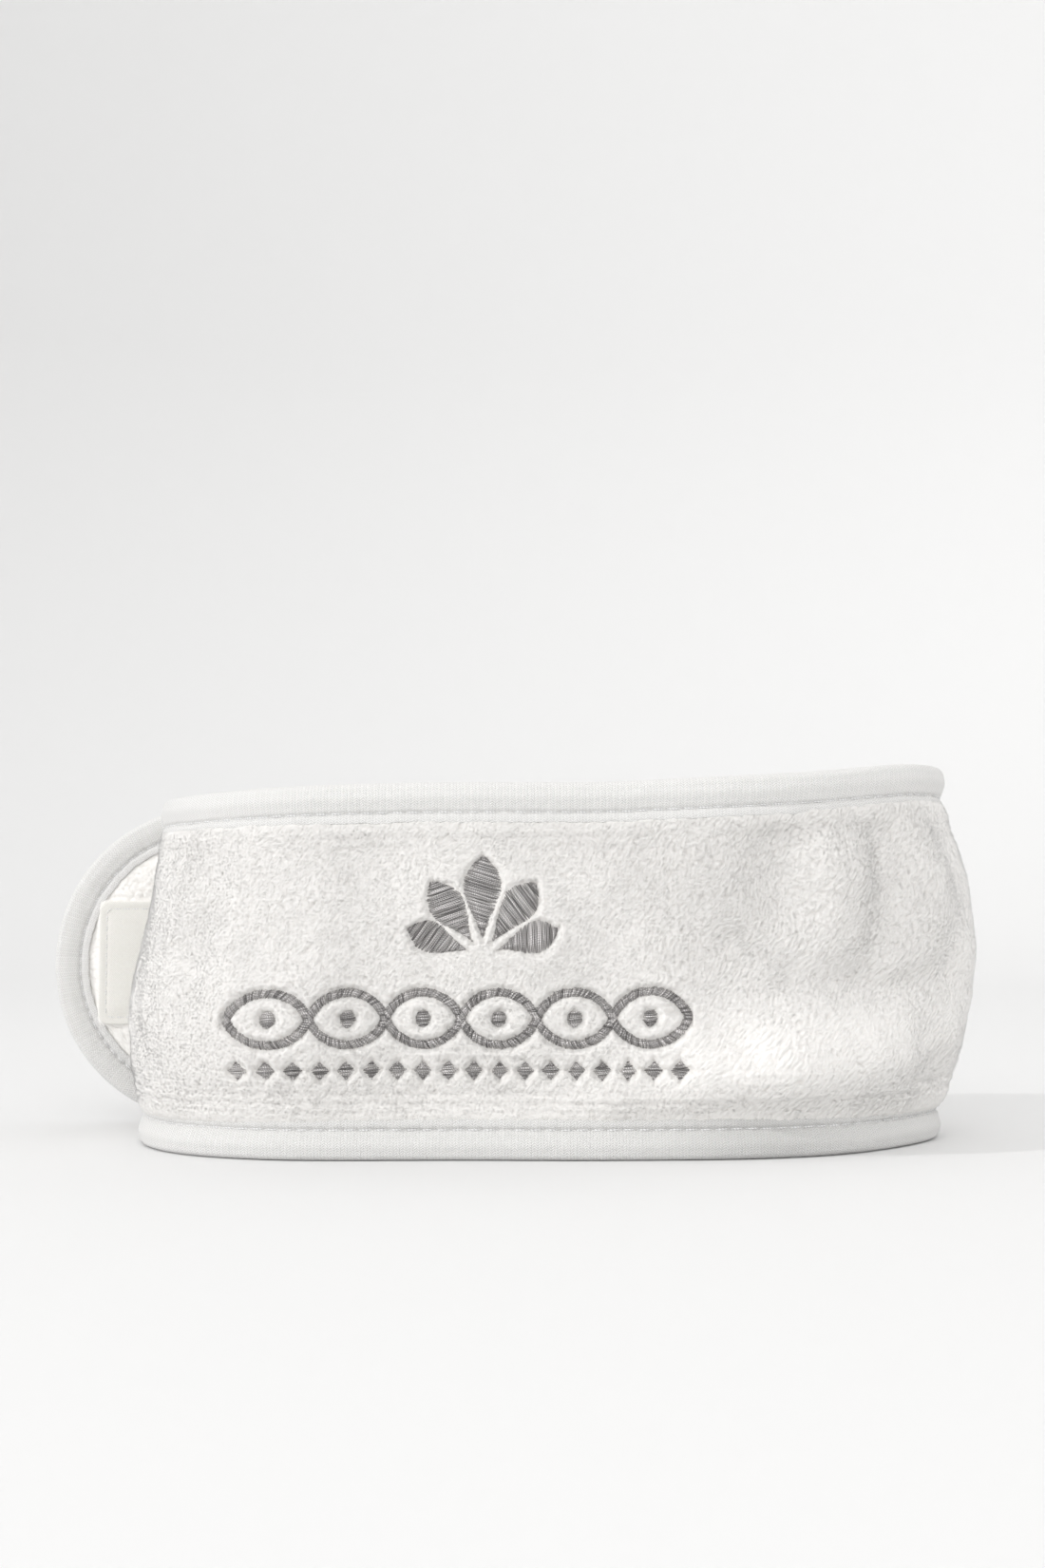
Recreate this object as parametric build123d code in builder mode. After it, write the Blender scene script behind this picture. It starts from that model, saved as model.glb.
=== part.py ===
"""A wrap-round spa headband: a long plush strap, bound all round with a folded
tape, closed into a loop by a hook-and-loop overlap at the back.

Frame: +Z up, the strap stands on its lower bound edge on Z = 0.  The
embroidered front faces -Y, the overlap is at +Y, the free rounded tab points
to -X.  The origin is under the middle of the overall box.

Every layer is drawn once as a flat section (u outward from the strap's middle
surface, z up) and carried along straight and curved runs of the loop.
"""

import os
from math import cos, pi, radians, sin, sqrt

from build123d import *

os.makedirs("parts", exist_ok=True)

# ------------------------------------------------------------ driving sizes
STRAP_W = 90.0          # width of the bound strap, which is the height of the loop
LOOP_DEPTH = 87.0       # front to back, middle surface to middle surface
FRONT_FLAT = 86.8       # straight run of the front

RIGHT_FRONT_R, RIGHT_FRONT_TURN = 78.0, 60.0    # gentle bend after the front
RIGHT_BACK_R, RIGHT_BACK_TURN = 32.0, 120.0     # tight bend into the back strap
NEST = 8.4              # back strap to inner end, middle surface to middle surface
LEFT_FRONT_R = 45.6
LEFT_BACK_R = LOOP_DEPTH - NEST - LEFT_FRONT_R

TAPE = 1.0              # binding tape, each leg of the fold with its turned edge
BIND = 9.0              # how far each leg of the binding reaches in from the edge
EDGE = 1.0              # panels stop this far inside the folded tape
FLANGE_OUT, FLANGE_IN = 1.2, 1.0     # panels pressed thin inside the binding
STEP_OUT, STEP_IN = 2.2, 1.8         # pile height beside the binding
CROWN_OUT, CROWN_IN = 4.5, 3.0       # pile height in the middle of the strap
LEG_IN = FLANGE_IN + TAPE            # inner face of the binding
LEG_OUT = FLANGE_OUT + TAPE          # outer face of the binding

TAB_LEN = 117.0         # free part of the strap, from the peel line to the tip
TIP_R = STRAP_W / 2     # both ends of the strap are half round
INNER_FLAT = 12.9       # straight run of the inner end before its half-round tip
SLIT = 0.4              # bend lines between segments that turn on each other

PATCH_H = 35.0
HOOK_L, LOOP_L = 100.0, 43.0
PATCH_T = 1.2
SEAM_IN = 7.3           # the row of stitching, in from the edge
THREAD = 0.25

MID = STRAP_W / 2
FRONT_Y = -LOOP_DEPTH / 2
BACK_Y = LOOP_DEPTH / 2
INNER_Y = BACK_Y - NEST

# overall width sets where X = 0 falls
_reach = (RIGHT_FRONT_R - RIGHT_BACK_R) * sin(radians(RIGHT_FRONT_TURN)) + RIGHT_BACK_R
RIGHT_OF_PEEL = 53.5    # peel line to the end of the straight front
OVERALL = TAB_LEN + RIGHT_OF_PEEL + _reach + CROWN_OUT
TIP_X = -OVERALL / 2
PEEL_X = TIP_X + TAB_LEN
FRONT_X1 = PEEL_X + RIGHT_OF_PEEL
FRONT_X0 = FRONT_X1 - FRONT_FLAT
TAB_C = TIP_X + TIP_R                       # centre of the tab's half-round tip

C_RF = (FRONT_X1, FRONT_Y + RIGHT_FRONT_R)  # centres of the bends, seen from above
C_RB = (
    FRONT_X1 + (RIGHT_FRONT_R - RIGHT_BACK_R) * sin(radians(RIGHT_FRONT_TURN)),
    BACK_Y - RIGHT_BACK_R,
)
C_LF = (FRONT_X0, FRONT_Y + LEFT_FRONT_R)
C_LB = (FRONT_X0 - LEFT_FRONT_R + LEFT_BACK_R, C_LF[1])
INNER_C = C_LB[0] + INNER_FLAT              # centre of the inner end's half-round tip

# bend lines, as directions from the centres of the bends
A_RF, A_RB, A_LF, A_LB = -60.0, 30.0, -135.0, 135.0
A_RJ = -90.0 + RIGHT_FRONT_TURN             # where the two right bends join


def slit(radius):
    """Half the slit, as an angle on a bend."""
    return SLIT / 2 / radius * 180 / pi


# ------------------------------------------------- section planes and runs
def section(x, y, a):
    """Plane across the strap at (x, y): local x points outward, local y is up."""
    c, s = cos(radians(a)), sin(radians(a))
    return Plane(origin=(x, y, 0), x_dir=(c, s, 0), z_dir=(s, -c, 0))


def straight(x, y, a, length):
    return ("straight", x, y, a, length)


def bend(centre, radius, a0, a1):
    return ("bend", centre, radius, a0, a1)


def carry(profile, runs):
    """Draws the section at the start of each run and carries it along the run."""
    for run in runs:
        if run[0] == "straight":
            _, x, y, a, length = run
            with BuildSketch(section(x, y, a)) as cut:
                profile()
            extrude(cut.sketch, amount=length)
        else:
            _, centre, radius, a0, a1 = run
            x = centre[0] + radius * cos(radians(a0))
            y = centre[1] + radius * sin(radians(a0))
            with BuildSketch(section(x, y, a0)) as cut:
                profile()
            turn = a1 - a0
            up = 1 if turn > 0 else -1
            revolve(
                cut.sketch,
                axis=Axis((centre[0], centre[1], 0), (0, 0, up)),
                revolution_arc=abs(turn),
            )


G_RF, G_RB, G_LF, G_LB = (
    slit(r) for r in (RIGHT_FRONT_R, RIGHT_BACK_R, LEFT_FRONT_R, LEFT_BACK_R)
)
FRONT = [
    straight(FRONT_X1, FRONT_Y, -90, FRONT_FLAT),
    bend(C_RF, RIGHT_FRONT_R, -90, A_RF - G_RF),
    bend(C_LF, LEFT_FRONT_R, -90, A_LF + G_LF),
]
RIGHT_SIDE = [
    bend(C_RF, RIGHT_FRONT_R, A_RF + G_RF, A_RJ),
    bend(C_RB, RIGHT_BACK_R, A_RJ, A_RB - G_RB),
]
BACK = [
    bend(C_RB, RIGHT_BACK_R, A_RB + G_RB, 90),
    straight(PEEL_X + SLIT / 2, BACK_Y, 90, C_RB[0] - PEEL_X - SLIT / 2),
]
LEFT_SIDE = [
    bend(C_LF, LEFT_FRONT_R, A_LF - G_LF, -180),
    bend(C_LB, LEFT_BACK_R, 180, A_LB + G_LB),
]
INNER_BEND = [bend(C_LB, LEFT_BACK_R, A_LB - G_LB, 90)]


# -------------------------------------------------------- section profiles
def outer_profile():
    """Outer plush panel: thin in the binding, crowned between the bindings."""
    with BuildLine() as outline:
        Polyline((0, EDGE), (FLANGE_OUT, EDGE), (FLANGE_OUT, BIND), (STEP_OUT, BIND))
        ThreePointArc((STEP_OUT, BIND), (CROWN_OUT, MID), (STEP_OUT, STRAP_W - BIND))
        Polyline(
            (STEP_OUT, STRAP_W - BIND), (FLANGE_OUT, STRAP_W - BIND),
            (FLANGE_OUT, STRAP_W - EDGE), (0, STRAP_W - EDGE), (0, EDGE),
        )
    make_face(outline.edges())


def lining_profile():
    """Inner terry panel: the same, on the wearer's side."""
    with BuildLine() as outline:
        Polyline((0, EDGE), (-FLANGE_IN, EDGE), (-FLANGE_IN, BIND), (-STEP_IN, BIND))
        ThreePointArc((-STEP_IN, BIND), (-CROWN_IN, MID), (-STEP_IN, STRAP_W - BIND))
        Polyline(
            (-STEP_IN, STRAP_W - BIND), (-FLANGE_IN, STRAP_W - BIND),
            (-FLANGE_IN, STRAP_W - EDGE), (0, STRAP_W - EDGE), (0, EDGE),
        )
    make_face(outline.edges())


def crown_stock(step, crown):
    """Crowned stock, a little wider than the pile, to be cut to a rounded end."""
    side = 1 if crown > 0 else -1
    radius = ((MID - BIND) ** 2 + (crown - step) ** 2) / (2 * abs(crown - step))
    rim = crown - side * (radius - sqrt(radius**2 - (MID - BIND + 6) ** 2))
    with BuildLine() as outline:
        Polyline((0, STRAP_W - BIND + 6), (0, BIND - 6), (rim, BIND - 6))
        ThreePointArc((rim, BIND - 6), (crown, MID), (rim, STRAP_W - BIND + 6))
        Line((rim, STRAP_W - BIND + 6), (0, STRAP_W - BIND + 6))
    make_face(outline.edges())


def outer_crown():
    crown_stock(STEP_OUT, CROWN_OUT)


def lining_crown():
    crown_stock(-STEP_IN, -CROWN_IN)


def lower_binding_profile():
    """Folded tape round the lower edge, with a narrow flat foot to stand on."""
    with BuildLine() as outline:
        FilletPolyline(
            (-FLANGE_IN, EDGE), (-FLANGE_IN, BIND), (-LEG_IN, BIND), (-LEG_IN, 0),
            (LEG_OUT, 0), (LEG_OUT, BIND), (FLANGE_OUT, BIND), (FLANGE_OUT, EDGE),
            close=True, radius=[0.01, 0.3, 0.3, 0.9, 0.9, 0.3, 0.3, 0.01],
        )
    make_face(outline.edges())


def upper_binding_profile():
    top = STRAP_W
    with BuildLine() as outline:
        FilletPolyline(
            (-FLANGE_IN, top - EDGE), (-FLANGE_IN, top - BIND), (-LEG_IN, top - BIND),
            (-LEG_IN, top), (LEG_OUT, top), (LEG_OUT, top - BIND),
            (FLANGE_OUT, top - BIND), (FLANGE_OUT, top - EDGE),
            close=True, radius=[0.01, 0.3, 0.3, 0.9, 0.9, 0.3, 0.3, 0.01],
        )
    make_face(outline.edges())


def seam_profile():
    """Four rows of thread: upper and lower edge, outer and inner face."""
    with Locations(
        (LEG_OUT + THREAD / 2, SEAM_IN), (LEG_OUT + THREAD / 2, STRAP_W - SEAM_IN),
        (-LEG_IN - THREAD / 2, SEAM_IN), (-LEG_IN - THREAD / 2, STRAP_W - SEAM_IN),
    ):
        Rectangle(THREAD, 2 * THREAD)


def lower_seam_profile():
    with Locations(
        (LEG_OUT + THREAD / 2, SEAM_IN), (-LEG_IN - THREAD / 2, SEAM_IN)
    ):
        Rectangle(THREAD, 2 * THREAD)


def backing_profile():
    with Locations((-0.15, MID)):
        Rectangle(0.3, STRAP_W - 24)


def embroidery_shell():
    """The outermost 0.9 mm of the outer panel, where the thread lies."""
    sink = 0.9
    with BuildLine() as outline:
        ThreePointArc((STEP_OUT, BIND), (CROWN_OUT, MID), (STEP_OUT, STRAP_W - BIND))
        Line((STEP_OUT, STRAP_W - BIND), (STEP_OUT - sink, STRAP_W - BIND))
        ThreePointArc(
            (STEP_OUT - sink, STRAP_W - BIND), (CROWN_OUT - sink, MID),
            (STEP_OUT - sink, BIND),
        )
        Line((STEP_OUT - sink, BIND), (STEP_OUT, BIND))
    make_face(outline.edges())


EMBROIDERED = [
    straight(FRONT_X1, FRONT_Y, -90, FRONT_FLAT),
    bend(C_RF, RIGHT_FRONT_R, -90, -82),
    bend(C_LF, LEFT_FRONT_R, -90, -122),
]
ACROSS = Plane.XZ       # sketches drawn as seen from the front


def rounded_end(centre, start, radius):
    """Outline of a strap end: straight from start, half round about centre."""
    tip = centre + radius if centre > start else centre - radius
    with BuildLine() as outline:
        Line((centre, MID - radius), (start, MID - radius))
        Line((start, MID - radius), (start, MID + radius))
        Line((start, MID + radius), (centre, MID + radius))
        ThreePointArc((centre, MID + radius), (tip, MID), (centre, MID - radius))
    make_face(outline.edges())


made = []


def keep(part, name):
    part.label = name
    export_step(part, f"parts/{name}.step")
    made.append(name)


# ------------------------------------------------------- embroidery, front
LOTUS_X, LOTUS_Z = FRONT_X1 - 46.0, 48.6
PETALS = [(0, 20.5, 7.6), (36, 18.0, 7.0), (-36, 18.0, 7.0), (70, 15.5, 6.0), (-70, 15.5, 6.0)]
WAVE_X, WAVE_Z, WAVE_HALF, WAVE_AMP, STROKE = FRONT_X1 - 51.1, 33.7, 18.0, 6.2, 2.2
WAVE_N = 6

with BuildPart() as embroidered_lotus:
    carry(embroidery_shell, EMBROIDERED)
    with BuildSketch(ACROSS) as petals:
        for turn, length, width in PETALS:
            away = Vector(sin(radians(turn)), cos(radians(turn)))
            aside = Vector(away.Y, -away.X)
            foot = Vector(LOTUS_X, LOTUS_Z) + away * 3.6
            belly = foot + away * length / 2
            with BuildLine() as petal:
                ThreePointArc(foot, belly + aside * width / 2, foot + away * length)
                ThreePointArc(foot + away * length, belly - aside * width / 2, foot)
            make_face(petal.edges())
    extrude(amount=120, both=True, mode=Mode.INTERSECT)
keep(embroidered_lotus.part, "embroidered_lotus")

with BuildPart() as embroidered_wave_band:
    carry(embroidery_shell, EMBROIDERED)
    with BuildSketch(ACROSS) as waves:
        for i in range(WAVE_N):
            x = WAVE_X + (i - (WAVE_N - 1) / 2) * WAVE_HALF
            with BuildLine() as over:
                ThreePointArc(
                    (x - WAVE_HALF / 2, WAVE_Z), (x, WAVE_Z + WAVE_AMP), (x + WAVE_HALF / 2, WAVE_Z)
                )
            SlotArc(over.line.edges()[0], STROKE)
            with BuildLine() as under:
                ThreePointArc(
                    (x - WAVE_HALF / 2, WAVE_Z), (x, WAVE_Z - WAVE_AMP), (x + WAVE_HALF / 2, WAVE_Z)
                )
            SlotArc(under.line.edges()[0], STROKE)
        with Locations([(WAVE_X + (i - (WAVE_N - 1) / 2) * WAVE_HALF, WAVE_Z) for i in range(WAVE_N)]):
            Circle(2.0)
    extrude(amount=120, both=True, mode=Mode.INTERSECT)
keep(embroidered_wave_band.part, "embroidered_wave_band")

DOT_Z, DOT_N, DOT_PITCH = 21.4, 18, 6.1
with BuildPart() as embroidered_seed_row:
    carry(embroidery_shell, EMBROIDERED)
    with BuildSketch(ACROSS) as seeds:
        with Locations([(WAVE_X + (i - (DOT_N - 1) / 2) * DOT_PITCH, DOT_Z) for i in range(DOT_N)]):
            RegularPolygon(2.3, 4)
    extrude(amount=120, both=True, mode=Mode.INTERSECT)
keep(embroidered_seed_row.part, "embroidered_seed_row")

# stabiliser sheet behind the stitching, between the two panels
with BuildPart() as embroidery_backing:
    carry(backing_profile, [
        straight(FRONT_X1, FRONT_Y, -90, FRONT_FLAT),
        bend(C_RF, RIGHT_FRONT_R, -90, -82),
        bend(C_LF, LEFT_FRONT_R, -90, -124),
    ])
keep(embroidery_backing.part, "embroidery_backing")

# ----------------------------------------------------------- front segment
with BuildPart() as outer_panel_front:
    carry(outer_profile, FRONT)
    add(embroidered_lotus.part, mode=Mode.SUBTRACT)
    add(embroidered_wave_band.part, mode=Mode.SUBTRACT)
    add(embroidered_seed_row.part, mode=Mode.SUBTRACT)
keep(outer_panel_front.part, "outer_panel_front")

with BuildPart() as lining_front:
    carry(lining_profile, FRONT)
    add(embroidery_backing.part, mode=Mode.SUBTRACT)
keep(lining_front.part, "lining_front")

with BuildPart() as lower_binding_front:
    carry(lower_binding_profile, FRONT)
keep(lower_binding_front.part, "lower_binding_front")

with BuildPart() as upper_binding_front:
    carry(upper_binding_profile, FRONT)
keep(upper_binding_front.part, "upper_binding_front")

with BuildPart() as binding_stitching_front:
    carry(seam_profile, FRONT)
keep(binding_stitching_front.part, "binding_stitching_front")

# ------------------------------------------------------ right side segment
with BuildPart() as outer_panel_right_side:
    carry(outer_profile, RIGHT_SIDE)
keep(outer_panel_right_side.part, "outer_panel_right_side")

with BuildPart() as lining_right_side:
    carry(lining_profile, RIGHT_SIDE)
keep(lining_right_side.part, "lining_right_side")

with BuildPart() as lower_binding_right_side:
    carry(lower_binding_profile, RIGHT_SIDE)
keep(lower_binding_right_side.part, "lower_binding_right_side")

with BuildPart() as upper_binding_right_side:
    carry(upper_binding_profile, RIGHT_SIDE)
keep(upper_binding_right_side.part, "upper_binding_right_side")

with BuildPart() as binding_stitching_right_side:
    carry(seam_profile, RIGHT_SIDE)
keep(binding_stitching_right_side.part, "binding_stitching_right_side")

# ------------------------------------------------------ back strap segment
with BuildPart() as outer_panel_back:
    carry(outer_profile, BACK)
keep(outer_panel_back.part, "outer_panel_back")

with BuildPart() as lining_back:
    carry(lining_profile, BACK)
keep(lining_back.part, "lining_back")

with BuildPart() as lower_binding_back:
    carry(lower_binding_profile, BACK)
keep(lower_binding_back.part, "lower_binding_back")

with BuildPart() as upper_binding_back:
    carry(upper_binding_profile, BACK)
keep(upper_binding_back.part, "upper_binding_back")

with BuildPart() as binding_stitching_back:
    carry(seam_profile, BACK)
keep(binding_stitching_back.part, "binding_stitching_back")

# ------------------------------------------------------- left side segment
with BuildPart() as outer_panel_left_side:
    carry(outer_profile, LEFT_SIDE)
keep(outer_panel_left_side.part, "outer_panel_left_side")

with BuildPart() as lining_left_side:
    carry(lining_profile, LEFT_SIDE)
keep(lining_left_side.part, "lining_left_side")

with BuildPart() as lower_binding_left_side:
    carry(lower_binding_profile, LEFT_SIDE)
keep(lower_binding_left_side.part, "lower_binding_left_side")

with BuildPart() as upper_binding_left_side:
    carry(upper_binding_profile, LEFT_SIDE)
keep(upper_binding_left_side.part, "upper_binding_left_side")

with BuildPart() as binding_stitching_left_side:
    carry(seam_profile, LEFT_SIDE)
keep(binding_stitching_left_side.part, "binding_stitching_left_side")

# ------------------------------------------------- patches of the fastening
HOOK_C = TAB_C - 32 + HOOK_L / 2
LOOP_C = INNER_C + 31 - LOOP_L / 2
HOOK_FACE = BACK_Y - CROWN_IN - 0.1          # hooks face the inner end
LOOP_FACE = INNER_Y + CROWN_OUT + 0.1        # loops face the tab

with BuildPart() as hook_patch:
    with BuildSketch(ACROSS.offset(-(HOOK_FACE + PATCH_T))):
        with Locations((HOOK_C, MID)):
            RectangleRounded(HOOK_L, PATCH_H, 3)
    extrude(amount=PATCH_T)
keep(hook_patch.part, "hook_patch")

with BuildPart() as hook_patch_stitching:
    with BuildSketch(ACROSS.offset(-HOOK_FACE)):
        with Locations((HOOK_C, MID)):
            RectangleRounded(HOOK_L - 4, PATCH_H - 4, 2)
            RectangleRounded(HOOK_L - 4.8, PATCH_H - 4.8, 1.6, mode=Mode.SUBTRACT)
    extrude(amount=0.15)
keep(hook_patch_stitching.part, "hook_patch_stitching")

with BuildPart() as loop_patch:
    with BuildSketch(ACROSS.offset(-LOOP_FACE)):
        with Locations((LOOP_C, MID)):
            RectangleRounded(LOOP_L, PATCH_H, 3)
    extrude(amount=PATCH_T)
keep(loop_patch.part, "loop_patch")

with BuildPart() as loop_patch_stitching:
    with BuildSketch(ACROSS.offset(-LOOP_FACE)):
        with Locations((LOOP_C, MID)):
            RectangleRounded(LOOP_L - 4, PATCH_H - 4, 2)
            RectangleRounded(LOOP_L - 4.8, PATCH_H - 4.8, 1.6, mode=Mode.SUBTRACT)
    extrude(amount=-0.15)
keep(loop_patch_stitching.part, "loop_patch_stitching")

# ------------------------------------------------------------- tab segment
TAB_START = PEEL_X - SLIT / 2
TAB_RUN = [straight(TAB_C, BACK_Y, 90, TAB_START - TAB_C)]
TAB_TURN = Axis((TAB_C, 0, MID), (0, 1, 0))

with BuildPart() as outer_panel_tab:
    with BuildSketch(section(TIP_X + BIND, BACK_Y, 90)):
        outer_crown()
    extrude(amount=TAB_START - TIP_X - BIND)
    with BuildSketch(ACROSS):
        rounded_end(TAB_C, TAB_START, TIP_R - BIND)
    extrude(amount=100, both=True, mode=Mode.INTERSECT)
    with BuildSketch(ACROSS.offset(-BACK_Y)):
        rounded_end(TAB_C, TAB_START, TIP_R - EDGE)
    extrude(amount=-FLANGE_OUT)
keep(outer_panel_tab.part, "outer_panel_tab")

with BuildPart() as lining_tab:
    with BuildSketch(section(TIP_X + BIND, BACK_Y, 90)):
        lining_crown()
    extrude(amount=TAB_START - TIP_X - BIND)
    with BuildSketch(ACROSS):
        rounded_end(TAB_C, TAB_START, TIP_R - BIND)
    extrude(amount=100, both=True, mode=Mode.INTERSECT)
    with BuildSketch(ACROSS.offset(-BACK_Y)):
        rounded_end(TAB_C, TAB_START, TIP_R - EDGE)
    extrude(amount=FLANGE_IN)
    add(hook_patch.part, mode=Mode.SUBTRACT)
keep(lining_tab.part, "lining_tab")

with BuildPart() as binding_tab:
    carry(lower_binding_profile, TAB_RUN)
    carry(upper_binding_profile, TAB_RUN)
    with BuildSketch(section(TAB_C, BACK_Y, 90)):
        lower_binding_profile()
    revolve(axis=TAB_TURN, revolution_arc=180)
keep(binding_tab.part, "binding_tab")

with BuildPart() as binding_stitching_tab:
    carry(seam_profile, TAB_RUN)
    with BuildSketch(section(TAB_C, BACK_Y, 90)):
        lower_seam_profile()
    revolve(axis=TAB_TURN, revolution_arc=180)
keep(binding_stitching_tab.part, "binding_stitching_tab")

# ------------------------------------------------------- inner end segment
INNER_TIP = INNER_C + TIP_R
INNER_RUN = [straight(C_LB[0], INNER_Y, 90, INNER_FLAT)]
INNER_TURN = Axis((INNER_C, 0, MID), (0, -1, 0))

with BuildPart() as outer_panel_inner_end:
    with BuildSketch(section(C_LB[0], INNER_Y, 90)):
        outer_crown()
    extrude(amount=INNER_TIP - BIND - C_LB[0])
    with BuildSketch(ACROSS):
        rounded_end(INNER_C, C_LB[0], TIP_R - BIND)
    extrude(amount=100, both=True, mode=Mode.INTERSECT)
    with BuildSketch(ACROSS.offset(-INNER_Y)):
        rounded_end(INNER_C, C_LB[0], TIP_R - EDGE)
    extrude(amount=-FLANGE_OUT)
    with BuildSketch(section(C_LB[0], INNER_Y, 90)):
        outer_profile()
    revolve(
        axis=Axis((C_LB[0], C_LB[1], 0), (0, 0, 1)), revolution_arc=A_LB - 90 - G_LB
    )
    add(loop_patch.part, mode=Mode.SUBTRACT)
keep(outer_panel_inner_end.part, "outer_panel_inner_end")

with BuildPart() as lining_inner_end:
    with BuildSketch(section(C_LB[0], INNER_Y, 90)):
        lining_crown()
    extrude(amount=INNER_TIP - BIND - C_LB[0])
    with BuildSketch(ACROSS):
        rounded_end(INNER_C, C_LB[0], TIP_R - BIND)
    extrude(amount=100, both=True, mode=Mode.INTERSECT)
    with BuildSketch(ACROSS.offset(-INNER_Y)):
        rounded_end(INNER_C, C_LB[0], TIP_R - EDGE)
    extrude(amount=FLANGE_IN)
    with BuildSketch(section(C_LB[0], INNER_Y, 90)):
        lining_profile()
    revolve(
        axis=Axis((C_LB[0], C_LB[1], 0), (0, 0, 1)), revolution_arc=A_LB - 90 - G_LB
    )
keep(lining_inner_end.part, "lining_inner_end")

with BuildPart() as binding_inner_end:
    carry(lower_binding_profile, INNER_BEND + INNER_RUN)
    carry(upper_binding_profile, INNER_BEND + INNER_RUN)
    with BuildSketch(section(INNER_C, INNER_Y, 90)):
        lower_binding_profile()
    revolve(axis=INNER_TURN, revolution_arc=180)
keep(binding_inner_end.part, "binding_inner_end")

with BuildPart() as binding_stitching_inner_end:
    carry(seam_profile, INNER_BEND + INNER_RUN)
    with BuildSketch(section(INNER_C, INNER_Y, 90)):
        lower_seam_profile()
    revolve(axis=INNER_TURN, revolution_arc=180)
keep(binding_stitching_inner_end.part, "binding_stitching_inner_end")

# ----------------------------------------------------------------- summary
length = (
    FRONT_FLAT
    + radians(RIGHT_FRONT_TURN) * RIGHT_FRONT_R
    + radians(RIGHT_BACK_TURN) * RIGHT_BACK_R
    + (C_RB[0] - TIP_X)
    + radians(90) * (LEFT_FRONT_R + LEFT_BACK_R)
    + INNER_FLAT + TIP_R
)


def line_at(centre, radius, a):
    """Where a bend line's axis stands: just outside the pile of the outer face."""
    r = radius + CROWN_OUT + 0.15
    return round(centre[0] + r * cos(radians(a)), 3), round(centre[1] + r * sin(radians(a)), 3)


print("nodes", len(made))
print("strap laid flat, mm:", round(length, 1))
print("overall width", round(OVERALL, 2), "tip", round(TIP_X, 2), "peel line", round(PEEL_X, 2))
print("front flat", round(FRONT_X0, 3), round(FRONT_X1, 3), "inner tip", round(INNER_TIP, 3))
print("centres", C_RF, C_RB, C_LF, C_LB, "tab", TAB_C, "inner", INNER_C, "inner y", INNER_Y)
print("right front", line_at(C_RF, RIGHT_FRONT_R, A_RF), "right back", line_at(C_RB, RIGHT_BACK_R, A_RB))
print("left front", line_at(C_LF, LEFT_FRONT_R, A_LF), "left back", line_at(C_LB, LEFT_BACK_R, A_LB))
print("peel", round(PEEL_X, 3), round(BACK_Y + CROWN_OUT + 0.15, 3))
print("patches", HOOK_C, LOOP_C, HOOK_FACE, LOOP_FACE)
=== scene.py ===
import math

import bpy
import numpy as np
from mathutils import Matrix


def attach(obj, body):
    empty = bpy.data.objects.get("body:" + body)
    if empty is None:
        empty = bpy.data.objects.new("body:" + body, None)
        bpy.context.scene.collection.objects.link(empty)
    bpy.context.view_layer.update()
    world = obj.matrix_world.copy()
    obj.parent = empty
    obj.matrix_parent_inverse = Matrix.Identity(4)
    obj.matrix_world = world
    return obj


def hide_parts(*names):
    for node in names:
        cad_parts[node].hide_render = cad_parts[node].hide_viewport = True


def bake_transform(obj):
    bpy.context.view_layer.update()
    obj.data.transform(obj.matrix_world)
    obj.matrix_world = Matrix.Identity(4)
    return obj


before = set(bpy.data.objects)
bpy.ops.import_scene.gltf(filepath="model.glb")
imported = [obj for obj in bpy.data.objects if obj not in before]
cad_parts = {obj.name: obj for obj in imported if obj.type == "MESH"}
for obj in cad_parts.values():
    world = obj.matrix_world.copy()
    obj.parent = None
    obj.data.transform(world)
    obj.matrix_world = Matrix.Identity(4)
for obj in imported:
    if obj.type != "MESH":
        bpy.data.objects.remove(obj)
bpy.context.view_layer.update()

MM = 0.001
PI = math.pi

# ---------------------------------------------------------------- the strap's path
# Seen from above, from the tip of the inner end, round the left fold, the front,
# the right fold and the back, to the tip of the tab.  Millimetres.
TOTAL = 627.212
CUTS = [0.0, 114.6, 227.2, 346.2, 446.8, TOTAL]  # each piece spans one bend line
RUNS = [
    ("L", 5.581, 35.1, 180.0, 57.9),
    ("A", -52.319, 2.1, 33.0, 90.0, 180.0),
    ("A", -39.719, 2.1, 45.6, 180.0, 270.0),
    ("L", -39.719, -43.5, 0.0, 86.8),
    ("A", 47.081, 34.5, 78.0, -90.0, -30.0),
    ("A", 86.919, 11.5, 32.0, -30.0, 90.0),
    ("L", 86.919, 43.5, 180.0, 210.338),
]


def lay_path():
    step = 0.25
    s, x, y = [], [], []
    at = 0.0
    first = True
    for r in RUNS:
        if r[0] == "L":
            _, x0, y0, h, length = r
            extra0 = 40.0 if first else 0.0
            extra1 = 40.0 if at + length > TOTAL - 1 else 0.0
            t = np.arange(-extra0, length + extra1, step)
            x += list(x0 + t * math.cos(math.radians(h)))
            y += list(y0 + t * math.sin(math.radians(h)))
        else:
            _, cx, cy, rad, a0, a1 = r
            length = math.radians(a1 - a0) * rad
            t = np.arange(0, length, step)
            a = math.radians(a0) + t / rad
            x += list(cx + rad * np.cos(a))
            y += list(cy + rad * np.sin(a))
        s += list(at + t)
        at += length
        first = False
    s, x, y = np.array(s), np.array(x), np.array(y)
    k = np.exp(-0.5 * (np.arange(-48, 49) * step / 4.0) ** 2)
    k /= k.sum()
    xs, ys = x.copy(), y.copy()
    xs[48:-48] = np.convolve(x, k, "valid")
    ys[48:-48] = np.convolve(y, k, "valid")
    h = np.unwrap(np.arctan2(np.gradient(ys, s), np.gradient(xs, s)))
    return s, xs, ys, h


PS, PX, PY, PH = lay_path()


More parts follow.
